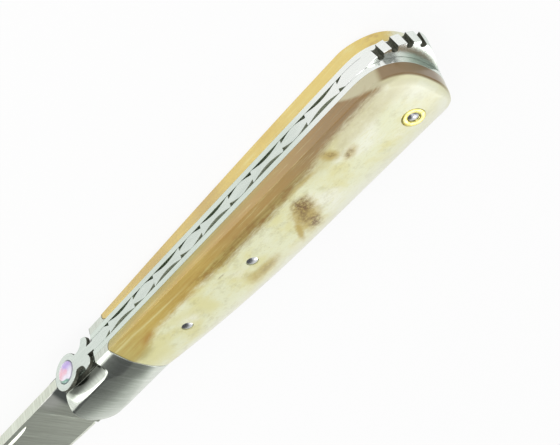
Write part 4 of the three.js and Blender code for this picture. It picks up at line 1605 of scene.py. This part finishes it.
@dataclass(frozen=True)
class Pins:
    """The pins that hold the handle together, and the brass rosettes."""

    scales: Scales = Scales()
    dome: float = 0.18
    rim: float = 0.1
    rim_bow: float = 0.3
    end_inset: float = 0.1
    ring_gap: float = 0.05
    ring_round: float = 0.14
    ring_steps: int = 8
    pivot_diameter: float = 3.4
    pivot_cover: float = 1.9

    def domed(self, radius: float, top: float) -> list[Pair]:
        """The profile of a peened pin's head, from its rim to its middle.

        Args:
            radius: The pin's radius.
            top: How high its middle stands.

        Returns:
            Radius and height of each point.
        """
        low, bow = top - self.dome, self.rim * self.rim_bow
        head = [(radius, low - self.rim), (radius - bow, low - bow), (radius - self.rim, low)]
        for share in (0.75, 0.5, 0.25, 0.0):
            head.append(((radius - self.rim) * share, low + self.dome * (1 - share ** 2)))
        return head

    def stud(self, pin: Pin) -> Workpiece:
        """Makes a short pin of the mark side, from its liner to the crown."""
        radius = pin.diameter / 2
        low = FORM.liner_inside + self.end_inset
        return Workpiece.turned([(radius, low), *self.domed(radius, FORM.crown_top)],
                                (pin.x, -pin.depth))

    def ring(self) -> Workpiece:
        """Makes the rosette of the mark side.

        Returns:
            The rosette.
        """
        rosette = self.scales.rosette
        outer = rosette.diameter / 2
        inner = self.scales.butt_pin.diameter / 2 + self.ring_gap
        low = FORM.crown_top - self.scales.rosette_thickness
        middle, half = (outer + inner) / 2, (outer - inner) / 2
        crown = [(middle + half * math.cos(angle),
                  FORM.crown_top - self.ring_round * (1 - math.sin(angle)))
                 for angle in (math.pi * i / self.ring_steps for i in range(self.ring_steps + 1))]
        return Workpiece.turned([(outer, low), *crown, (inner, low), (outer, low)],
                                (rosette.x, -rosette.depth), 64)

    def build(self) -> None:
        """Builds the handle's pins and both rosettes, and gives the spring's CAD pin the pin
        finish.
        """
        for place, pin in (("front", self.scales.front_pin), ("middle", self.scales.middle_pin)):
            ride_both(f"scale_pin_{place}", self.stud(pin), [Finish.PIN], "pin_steel")
        ride_both("rosette", self.ring(), [Finish.BRASS], "rosette_brass")
        pin = self.scales.butt_pin
        head = self.domed(pin.diameter / 2, FORM.crown_top)
        foot = [(radius, -height) for radius, height in reversed(head)]
        radius, reach = self.pivot_diameter / 2, FORM.crown_top - self.pivot_cover
        for name, node, profile, place in (
                ("butt_pin_peened", "butt_pin", [*foot, *head], (pin.x, -pin.depth)),
                ("pivot_pin_blind", "pivot_pin", [(radius, -reach), (radius, reach)],
                 (PIVOT_X, -PIVOT_DEPTH))):
            through = Workpiece.turned(profile, place)
            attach(through.place(name, [Finish.PIN], "pin_steel", node), "handle")
        spring_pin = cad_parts["spring_pin"]
        spring_pin.data.materials.clear()
        spring_pin.data.materials.append(Finish.PIN.material())


@dataclass(frozen=True)
class BackSpring:
    """The back spring: bee, collar, file work and crest, forged as one piece."""

    bar_half: float = 1.46
    body_half: float = 1.5
    nose_depth: float = 3.45
    rear_depth: float = 4.6
    rear_x: float = 68.0
    pin_x: float = 27.0
    middle_depth: float = 5.4
    block_x: float = 79.6
    block_corner: float = 3.0
    block_margin: float = 1.2
    collar_x: float = -6.5
    edge: float = 0.05
    file_period: float = 17.05
    file_count: int = 5
    waist_length: float = 9.5
    waist_cut: float = 0.85
    bead_cut: float = 0.95
    bead_power: float = 1.4
    wedge_length: float = 1.8
    file_depth: float = 1.5
    file_gap: float = 0.02
    crest_height: float = 4.0
    crest_peak: float = 17.0
    crest_start: float = 64.0
    crest_end: float = -24.0
    crest_notches: tuple[float, ...] = (48.6, 36.7, 25.3, 15.0)
    notch_width: float = 1.25
    notch_depth: float = 1.2
    notch_slant: float = 16.0
    disc_x: float = -17.2
    disc_radius: float = 4.25
    bee_top: float = 0.2
    bee_bottom: float = -0.8
    waist: float = 2.1
    wing_curves: tuple[tuple[Pair, Pair, int], ...] = (
        ((-12.1, 1.75), (-11.2, 2.4), 8), ((-10.5, 3.05), (-10.2, 4.15), 10),
        ((-7.9, 3.85), (-8.1, 2.25), 12), ((-8.2, 1.55), (-8.7, 1.05), 6))
    bee_edge: float = 0.2
    neck: float = 1.05
    neck_start_x: float = -9.5
    neck_bow_x: float = -8.3
    neck_foot_x: float = -6.7
    neck_end_x: float = -6.1
    neck_foot: float = -0.06
    neck_sink: float = 0.02
    neck_inset: float = 0.01
    neck_edge: float = 0.1
    upright: float = 0.8
    cutter_reach: float = 1.0
    notch_reach: float = 2.5
    notch_mouth: float = 2.0
    opal_radius: float = 2.6
    opal_rise: float = 0.9
    opal_seat: float = 0.6
    opal_gap: float = 0.05
    opal_rim: float = 0.1
    opal_steps: int = 14
    seat_flare: float = 0.45
    seat_top: float = 0.6
    blend_x: float = -5.0

    def crest_rise(self, angle: Any) -> Any:
        """How far the crest stands out of the butt's outline at an angle in degrees."""
        climb = np.clip((self.crest_start - angle) / (self.crest_start - self.crest_peak), 0, 1)
        fall = eased(angle, self.crest_end, self.crest_peak)
        return self.crest_height * np.where(angle >= self.crest_peak, climb, fall)

    def butt_reach(self, angle: Any) -> Any:
        """How far the crest's top is from the butt's middle at an angle in degrees.

        Args:
            angle: The angle, or many.

        Returns:
            The distance.
        """
        turn = np.radians(angle)
        across = np.abs(np.cos(turn)) / FORM.butt_reach
        up = np.abs(np.sin(turn)) / (FORM.handle_depth / 2)
        ring = (across ** FORM.butt_power + up ** FORM.butt_power) ** (-1 / FORM.butt_power)
        return ring + self.crest_rise(angle)

    def side_outline(self) -> np.ndarray:
        """The spring's outline seen from the side, without its bee.

        Returns:
            The points, one in each row.
        """
        angle = np.linspace(90, -90, 121)
        reach, turn = self.butt_reach(angle), np.radians(angle)
        centre_x, centre_y = FORM.butt_centre
        round_end = np.column_stack([centre_x + reach * np.cos(turn),
                                     centre_y + reach * np.sin(turn)])
        tail, hinge = (self.rear_x, -self.rear_depth), (self.pin_x, -self.middle_depth)
        return np.vstack([
            [[FORM.nose_x, 0.0], [self.collar_x, 0.0]],
            round_end,
            [[self.block_x, -FORM.handle_depth + self.block_margin]],
            arc((self.block_x - self.block_corner, -self.rear_depth - self.block_corner),
                self.block_corner, 0, 90, 10),
            [tail],
            curve(tail, ((self.rear_x + self.pin_x) / 2, -self.middle_depth), hinge, 12),
            curve(hinge, (self.pin_x / 2, -self.nose_depth),
                  (self.collar_x, -self.nose_depth), 12),
            [[FORM.nose_x, -self.nose_depth]]])

    def file_line(self) -> np.ndarray:
        """The edge that the file work leaves on one side: waists and beads by turns.

        Returns:
            The points, one in each row.
        """
        low = self.body_half - self.bead_cut
        spans = [[[-self.wedge_length, self.body_half], [0.0, low]]]
        bead_length = self.file_period - self.waist_length
        waist, bead = np.linspace(0, 1, 29), np.linspace(-1, 1, 23)
        for i in range(self.file_count):
            start = i * self.file_period
            last = start + self.waist_length
            spans.append(np.column_stack([
                start + waist * self.waist_length,
                self.body_half - self.waist_cut * np.sin(np.pi * waist)]))
            if i + 1 < self.file_count:
                spans.append(np.column_stack([
                    last + (bead + 1) / 2 * bead_length,
                    self.body_half - self.bead_cut * np.abs(bead) ** self.bead_power]))
        spans.append([[last, low], [last + self.wedge_length, self.body_half]])
        line = np.vstack(spans)
        line[:, 1] = np.minimum(line[:, 1], self.body_half - self.file_gap)
        return line

    def file_cutters(self) -> list[Workpiece]:
        """The hollows of the file work, as one solid to cut from each side.

        Returns:
            The cutters of both sides.
        """
        line = self.file_line()
        outside = self.body_half + self.cutter_reach
        outline = np.vstack([[[line[0, 0], outside]], line, [[line[-1, 0], outside]]])
        return [Workpiece.prism(outline * (1, side), -self.file_depth, self.cutter_reach,
                                Plane.TOP).paint(2) for side in (1, -1)]

    def notch_cutters(self) -> list[Workpiece]:
        """The round notches across the crest.

        Returns:
            Their cutters.
        """
        centre_x, centre_y = FORM.butt_centre
        cutters = []
        for angle in self.crest_notches:
            reach = self.butt_reach(angle) - self.notch_depth + self.notch_width / 2
            turn = math.radians(angle)
            middle = (centre_x + reach * math.cos(turn), centre_y + reach * math.sin(turn))
            slot = arc(middle, self.notch_width / 2, angle + 90, angle + 270, 16)
            out = np.array([math.cos(turn), math.sin(turn)]) * self.notch_mouth
            outline = np.vstack([slot, slot[-1] + out, slot[0] + out])
            lean = math.tan(math.radians(self.notch_slant))
            along = Vector((math.sin(turn), -math.cos(turn), 0)) * lean
            # Painted shade: the notches' faces take the dark recess finish.
            cutter = Workpiece.prism(outline, -self.notch_reach, self.notch_reach).paint(1)
            cutters.append(cutter.moved(lambda point, along=along: point + along * point.z))
        return cutters

    def nose_cutters(self) -> list[Workpiece]:
        """What is filed off the nose beside the bee's neck, down to its underside.

        Returns:
            The cutters of both sides.
        """
        near_x, outside = FORM.nose_x - self.cutter_reach, self.body_half + self.cutter_reach
        beside = np.array([[near_x, self.neck], [self.collar_x, self.neck],
                           [self.collar_x, outside], [near_x, outside]])
        # Painted shade: the faces that these cutters leave take the dark recess finish.
        return [Workpiece.prism(beside * (1, side), self.bee_bottom, self.cutter_reach,
                                Plane.TOP).paint(1) for side in (1, -1)]

    def bee_outline(self) -> np.ndarray:
        """The bee seen from the back: disc, waist, wings and neck.

        Returns:
            The points, one in each row.
        """
        join_x = self.disc_x + math.sqrt(self.disc_radius ** 2 - self.waist ** 2)
        join = math.degrees(math.asin(self.waist / self.disc_radius))
        disc = arc((self.disc_x, 0), self.disc_radius, join, 360 - join, 64)
        spans, start = [], (join_x, self.waist)
        for bow, end, steps in self.wing_curves:
            spans.append(curve(start, bow, end, steps))
            start = end
        half = np.vstack(spans)
        return np.vstack([disc, half * (1, -1), half[::-1]])

    def bee(self) -> list[Workpiece]:
        """The bee's plate with its soft rims, and the neck that slopes down to the collar.

        Returns:
            The plate and the neck.
        """
        plate = Workpiece.prism(self.bee_outline(), self.bee_bottom, self.bee_top, Plane.TOP,
                                self.bee_edge, 4)
        start, end, top = self.neck_start_x, self.neck_end_x, self.bee_top - self.neck_sink
        slope = curve((start, top), (self.neck_bow_x, top), (self.neck_foot_x, self.neck_foot), 8)
        outline = np.vstack([[[end, self.bee_bottom], [start, self.bee_bottom], [start, top]],
                             slope, [[end, self.neck_foot]]])
        half = self.neck - self.neck_inset
        neck = Workpiece.prism(outline, -half, half, edge=self.neck_edge)
        # Painted shade: every face of the bee and its neck that does not face up takes the dark
        # recess finish.
        return [part.paint_where(lambda middle, normal: normal.y < self.upright, 1)
                for part in (plate, neck)]

    def opal(self) -> Workpiece:
        """The cabochon over its seat.

        Returns:
            The stone.
        """
        radius = self.opal_radius - self.opal_gap
        bottom = self.bee_top - self.opal_seat + self.opal_gap
        low, rise = self.bee_top - self.opal_rim, self.opal_rise + self.opal_rim
        angles = [math.pi / 2 * i / self.opal_steps for i in range(self.opal_steps)]
        dome = [(radius * math.cos(angle), low + rise * math.sin(angle)) for angle in angles]
        profile = [(0.0, bottom), (radius, bottom), *dome, (0.0, low + rise)]
        return Workpiece.turned(profile, (self.disc_x, 0.0), 64, Plane.TOP)

    def build(self) -> None:
        """Builds the spring and its opal."""
        bar = Workpiece.prism(self.side_outline(), -self.bar_half, self.bar_half,
                              edge=self.edge, segments=1)
        bar.cut(*self.file_cutters(), *self.nose_cutters(), *self.notch_cutters())
        bar.join(*self.bee())
        seat = Workpiece.turned(
            [(self.opal_radius, self.bee_top - self.opal_seat), (self.opal_radius, 0.0),
             (self.opal_radius + self.seat_flare, self.seat_top)],
            (self.disc_x, 0.0), 64, Plane.TOP)
        bar.cut(seat)
        spring = bar.place(
            "back_spring_filed", [Finish.SPRING, Finish.RECESS, Finish.FILED], "spring_steel",
            "spring_arm", "spring_rear_body", sharp=30.0)
        BENCH.point(self.blend_x, 0, 0)
        BENCH.point(self.pin_x, 0, 0)
        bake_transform(spring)
        stone = self.opal().place("opal_cabochon_polished", [Finish.OPAL], "opal",
                                  "opal_cabochon", sharp=60.0)
        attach(stone, "spring_front")


@dataclass(frozen=True)
class Blade:
    """The blade: tang, ricasso, plunge, ground sides and nail nick."""

    half: float = 1.44
    reach: float = 95.5
    tip_depth: float = 6.2
    point_height: float = 0.25
    drop_start_x: float = -62.0
    drop_power: float = 1.8
    belly_start_x: float = -66.0
    belly_power: float = 2.3
    edge_depth: float = 17.5
    edge_rise: float = 1.6
    edge_half: float = 0.1
    tip_half: float = 0.45
    taper_power: float = 1.3
    plunge_x: float = -30.3
    plunge_length: float = 1.5
    kick_depth: float = 16.6
    kick_x: float = -31.3
    choil: float = 0.75
    tang_radius: float = 6.75
    tang_belly: float = 4.0
    shoulder_x: float = -21.63
    nick_x: float = -43.0
    nick_length: float = 12.0
    nick_height: float = 1.5
    nick_depth: float = 1.9
    nick_cut: float = 0.4
    spine_edge: float = 0.1
    bevel_width: float = 0.9
    bevel_share: float = 0.3
    shoulder_half: float = 0.16
    shoulder_share: float = 0.12
    grind_margin: float = 1.5
    grind_lift: float = 0.02
    grind_reach: float = 3.0
    bore_radius: float = 1.75
    bore_reach: float = 3.0
    nick_lip: float = 0.3
    nick_slant: float = 0.06
    nick_flat: float = 0.25
    nick_fade: float = 0.02
    nick_skin: float = 0.001

    @property
    def tip_x(self) -> float:
        """Where the point is."""
        return PIVOT_X - self.reach

    @property
    def heel_x(self) -> float:
        """Where the cutting edge starts, in front of the choil."""
        return self.kick_x - 2 * self.choil

    def back_depth(self, x: Any) -> Any:
        """How far the blade's back has dropped at a place along it."""
        share = np.clip((self.drop_start_x - x) / (self.drop_start_x - self.tip_x), 0, 1)
        return self.tip_depth * share ** self.drop_power

    def front_depth(self, x: Any) -> Any:
        """How deep the cutting edge is at a place along the blade.

        Args:
            x: The place, or many.

        Returns:
            The depth below the back.
        """
        share = np.clip((self.belly_start_x - x) / (self.belly_start_x - self.tip_x), 0, 1)
        along = np.clip((self.heel_x - x) / (self.heel_x - self.belly_start_x), 0, 1)
        straight = self.edge_depth - self.edge_rise * along
        rise = 1 - np.sqrt(np.maximum(0, 1 - share ** self.belly_power))
        return straight + (self.tip_depth + self.point_height - straight) * rise

    def outline(self) -> np.ndarray:
        """The blade's outline seen from the side, the tang's round included.

        Returns:
            The points, one in each row.
        """
        share = np.linspace(0, 1, 70) ** 0.7
        x = self.kick_x + (self.tip_x - self.kick_x) * share
        back = np.column_stack([x, -self.back_depth(x)])
        front = np.column_stack([x, -self.front_depth(x)])[::-1]
        tang = arc((PIVOT_X, -PIVOT_DEPTH), self.tang_radius, -90, 90, 36)
        belly = curve((FORM.front_x, -self.kick_depth),
                      (PIVOT_X - self.tang_belly, -self.kick_depth), tang[0], 10)
        return np.vstack([
            back, front, [[self.kick_x, -self.kick_depth], [FORM.front_x, -self.kick_depth]],
            belly, tang[1:],
            [[self.shoulder_x, -PIVOT_DEPTH + self.tang_radius], [self.shoulder_x, 0.0]]])

    def section(self, x: float) -> Triple:
        """The depths of the back, the bevel and the edge at a place along the blade."""
        top, edge = float(self.back_depth(x)), float(self.front_depth(min(x, self.kick_x)))
        return top, edge - min(self.bevel_width, (edge - top) * self.bevel_share), edge

    def half_thickness(self, x: float, depth: float) -> float:
        """Half the ground blade's thickness at a place seen from the side.

        Args:
            x: The place along the blade.
            depth: Its depth below the back.

        Returns:
            Half the thickness.
        """
        taper = min(1.0, max(0.0, (self.plunge_x - x) / (self.plunge_x - self.tip_x)))
        back = self.half + (self.tip_half - self.half) * taper ** self.taper_power
        top, bevel, edge = self.section(x)
        shoulder = (self.edge_half + (back - self.edge_half) * self.shoulder_share
                    + self.shoulder_half)
        if depth <= bevel:
            share = max(0.0, (depth - top) / (bevel - top))
            ground = back + (shoulder - back) * share
        else:
            share = min(1.0, (depth - bevel) / (edge - bevel))
            ground = shoulder + (self.edge_half - shoulder) * share
        plunge = float(eased(self.plunge_x - x, 0.0, self.plunge_length))
        return self.half + (ground - self.half) * plunge

    def grinding(self) -> Workpiece:
        """What the grinding takes off the mark side, as a solid.

        Returns:
            The solid.
        """
        near = self.plunge_x - np.linspace(0, 1, 13) * self.plunge_length * 1.1
        far = np.linspace(near[-1], self.tip_x - 1, 70)[1:]
        high, margin = self.half + self.grind_reach, self.grind_margin
        rings = []
        for x in np.concatenate([[self.plunge_x + 0.2], near, far]):
            top, bevel, edge = self.section(x)
            depths = np.concatenate([[top - margin], np.linspace(top, bevel, 18),
                                     [edge, edge + margin]])
            lift = self.grind_lift if x > self.plunge_x else 0.0
            line = [(x, -depth, self.half_thickness(x, depth) + lift) for depth in depths]
            rings.append(np.array([*line, (x, -edge - margin, high), (x, -top + margin, high)]))
        return Workpiece.skin(rings)

    def nail_nick(self) -> Workpiece:
        """The cutter of the nail nick: steep at its upper side and fading below.

        Returns:
            The cutter.
        """
        top = self.nick_depth - self.nick_height / 2
        rings = []
        for share in np.linspace(-1, 1, 33):
            width = math.sqrt(max(0.0, 1 - share ** 2))
            x = self.nick_x + share * self.nick_length / 2
            surface = self.half_thickness(x, self.nick_depth)
            low = top + self.nick_height * (self.nick_fade + width)
            deep = surface - self.nick_cut * width - self.nick_skin
            lip = surface + self.nick_lip
            rings.append(np.array([
                (x, -top + self.nick_slant, lip), (x, -top, deep),
                (x, -(top + (low - top) * self.nick_flat), deep + self.nick_fade * width),
                (x, -low, lip)]))
        return Workpiece.skin(rings)

    def build(self) -> None:
        """Builds the blade."""
        body = Workpiece.prism(self.outline(), -self.half, self.half, edge=self.spine_edge)
        grinding = self.grinding()
        choil, bore = (
            Workpiece.turned([(radius, -self.bore_reach), (radius, self.bore_reach)], place, 40)
            for radius, place in (
                (self.choil, (self.kick_x - self.choil, -self.edge_depth)),
                (self.bore_radius, (PIVOT_X, -PIVOT_DEPTH))))
        body.cut(grinding, grinding.twin(), self.nail_nick(), choil, bore)
        placed = body.place("blade_ground", [Finish.BLADE], "blade_steel", "blade", sharp=14.0)
        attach(placed, "blade")


@dataclass(frozen=True)
class Studio:
    """The pale table and room, the lamps, the dark cards that steel mirrors, and the camera."""

    table_size: float = 6.0
    table_tone: Colour = (0.9, 0.9, 0.9, 1.0)
    table_white: float = 0.9
    room_level: float = 0.68
    card_distance: float = 0.62
    card_columns: int = 15
    card_rows: int = 9
    felt_height: float = 33.0
    felt_slant: float = 0.6
    felt: Colour = (0.11, 0.112, 0.115, 1.0)
    felt_pale: Colour = (0.21, 0.215, 0.21, 1.0)
    felt_mid: Colour = (0.3, 0.31, 0.3, 1.0)
    felt_light: Colour = (0.6, 0.62, 0.6, 1.0)
    camera_place: Triple = (195.302, 163.655, 176.188)
    camera_turn: Triple = (-51.064, -14.0656, -51.4316)
    focal_pixels: float = 1370.0
    image_width: float = 560.0
    sensor: float = 36.0

    def shown(self, tree: NodeTree) -> Shade:
        """Gives 1 for rays of the camera, of gloss and of glass, and 0 for others."""
        rays = tree.node("ShaderNodeLightPath").outputs
        camera, gloss, glass = (Shade(tree, rays[f"Is {kind} Ray"])
                                for kind in ("Camera", "Glossy", "Transmission"))
        return camera.at_least(gloss).at_least(glass)

    def table(self) -> None:
        """Lays the white table under the knife."""
        half = self.table_size / 2
        corners = [(-half, -half, 0), (half, -half, 0), (half, half, 0), (-half, half, 0)]
        data = bpy.data.meshes.new("table")
        data.from_pydata(corners, [], [(0, 1, 2, 3)])
        material = bpy.data.materials.new("table_paper")
        tree = NodeTree(material)
        paper = tree.node("ShaderNodeBsdfDiffuse", inputs={"Color": self.table_tone})
        glow = tree.node("ShaderNodeEmission")
        mixed = tree.node("ShaderNodeMixShader", inputs={
            0: self.shown(tree) * self.table_white, 1: paper.outputs[0], 2: glow.outputs[0]})
        tree.node("ShaderNodeOutputMaterial", inputs={"Surface": mixed.outputs[0]})
        data.materials.append(material)
        linked("table", data)

    def room(self) -> None:
        """Makes the room white where it is seen and softer where it lights."""
        world = bpy.data.worlds.new("room")
        bpy.context.scene.world = world
        tree = NodeTree(world)
        strength = tree.ranged(self.shown(tree), 0.0, 1.0, self.room_level, 1.0, "LINEAR")
        light = tree.node("ShaderNodeBackground", inputs={
            "Color": WHITE, "Strength": strength})
        tree.node("ShaderNodeOutputWorld", inputs={"Surface": light.outputs[0]})

    def card_felt(self, name: str, pale_from: float, pale_to: float) -> bpy.types.Material:
        """Builds the grey of a card, which grows paler to one side and downwards.

        Args:
            name: The material's name.
            pale_from: The direction in degrees, at felt_height, where it starts to.
            pale_to: The direction where it is white.

        Returns:
            The material.
        """
        tree = ShaderTree(name)
        turn = tree.math("ARCTAN2", -tree.depth, tree.x) * math.degrees(1)
        turn = turn + tree.math("LESS_THAN", turn, 0.0) * 360.0
        height = tree.math("ARCSINE", tree.z / (self.card_distance / MM)) * math.degrees(1)
        slanted = turn + (self.felt_height - height) * self.felt_slant
        pale = (slanted - pale_from) / (pale_to - pale_from)
        glow = tree.ramp(pale, [(0.0, self.felt), (0.12, self.felt_pale), (0.35, self.felt_mid),
                                (0.55, self.felt_light), (1.0, WHITE)])
        return tree.surface(BLACK, 1.0, 0.0, others={
            "Specular IOR Level": 0.0, "Emission Strength": 1.0, "Emission Color": glow})

    def card(self, name: str, turn: Pair, rise: Pair, pale: Pair) -> None:
        """Hangs a curved dark card that polished steel mirrors, unseen by the camera.

        Args:
            name: Its name.
            turn: Its first and last direction round the knife, in degrees from +x.
            rise: Its lowest and highest angle above the table, in degrees.
            pale: Where it starts to grow paler and where it is white.
        """
        data = bpy.data.meshes.new(name)
        azimuths = np.radians(np.linspace(*turn, self.card_columns))
        heights = np.radians(np.linspace(*rise, self.card_rows))
        points = [(math.cos(a) * math.cos(h) * self.card_distance,
                   math.sin(a) * math.cos(h) * self.card_distance,
                   math.sin(h) * self.card_distance) for a in azimuths for h in heights]
        rows = len(heights)
        faces = [(i * rows + j, (i + 1) * rows + j, (i + 1) * rows + j + 1, i * rows + j + 1)
                 for i in range(len(azimuths) - 1) for j in range(rows - 1)]
        data.from_pydata(points, [], faces)
        card = linked(name, data)
        data.materials.append(self.card_felt(f"{name}_felt", *pale))
        card.visible_camera = card.visible_shadow = card.visible_diffuse = False

    def lamp(self, name: str, azimuth: float, height: float, distance: float,
             size: Pair, power: float, gloss_only: bool = False) -> None:
        """Hangs one soft lamp that looks at the handle.

        Args:
            name: Its name.
            azimuth: Its direction round the knife, in degrees from +x.
            height: Its angle above the table in degrees.
            distance: Its distance in metres.
            size: Its length and width in metres.
            power: Its power in watts.
            gloss_only: Whether it shows only in gloss.
        """
        data = bpy.data.lights.new(name, "AREA")
        data.shape = "RECTANGLE"
        data.size, data.size_y = size
        data.energy = power
        lamp = linked(name, data)
        a, h = math.radians(azimuth), math.radians(height)
        away = Vector((math.cos(a) * math.cos(h), math.sin(a) * math.cos(h), math.sin(h)))
        lamp.location = away * distance
        lamp.visible_diffuse = not gloss_only
        lamp.rotation_mode = "QUATERNION"
        lamp.rotation_quaternion = away.to_track_quat("Z", "Y")

    def camera(self) -> None:
        """Sets up the camera where the photograph was taken."""
        data = bpy.data.cameras.new("camera")
        data.sensor_width = self.sensor
        data.lens = self.focal_pixels / self.image_width * self.sensor
        data.clip_start, data.clip_end = 0.01, 20
        camera = linked("camera", data)
        camera.location = Vector(self.camera_place) * MM
        camera.rotation_euler = [math.radians(angle) for angle in self.camera_turn]
        bpy.context.scene.camera = camera

    def build(self) -> None:
        """Sets up the whole studio."""
        bpy.context.scene.view_settings.view_transform = "Standard"
        self.table()
        self.room()
        for card in (("dark_card", (182, 238), (3, 80), (218.0, 240.0)),
                     ("low_card", (95, 129), (3, 42), (150.0, 190.0)),
                     ("side_card", (5, 60), (10, 75), (0.0, 110.0)),
                     ("front_card", (288, 338), (10, 75), (262.0, 372.0))):
            self.card(*card)
        self.lamp("key", 160.0, 32.0, 0.55, (0.2, 0.36), 0.42)
        self.lamp("window", 259.0, 44.0, 0.6, (0.15, 0.2), 0.22, gloss_only=True)
        self.lamp("fill", 75.0, 35.0, 0.9, (0.7, 0.7), 3.0)
        self.camera()


def main() -> None:
    """Builds the knife and its studio, in order."""
    logging.basicConfig(level=logging.INFO, format="%(message)s")
    Studio().build()
    for assembly in (Blade(), BackSpring(), Liners(), Bolsters(), Scales(), Pins()):
        LOG.info("building %s", type(assembly).__name__)
        assembly.build()


if __name__ == "__main__":
    main()
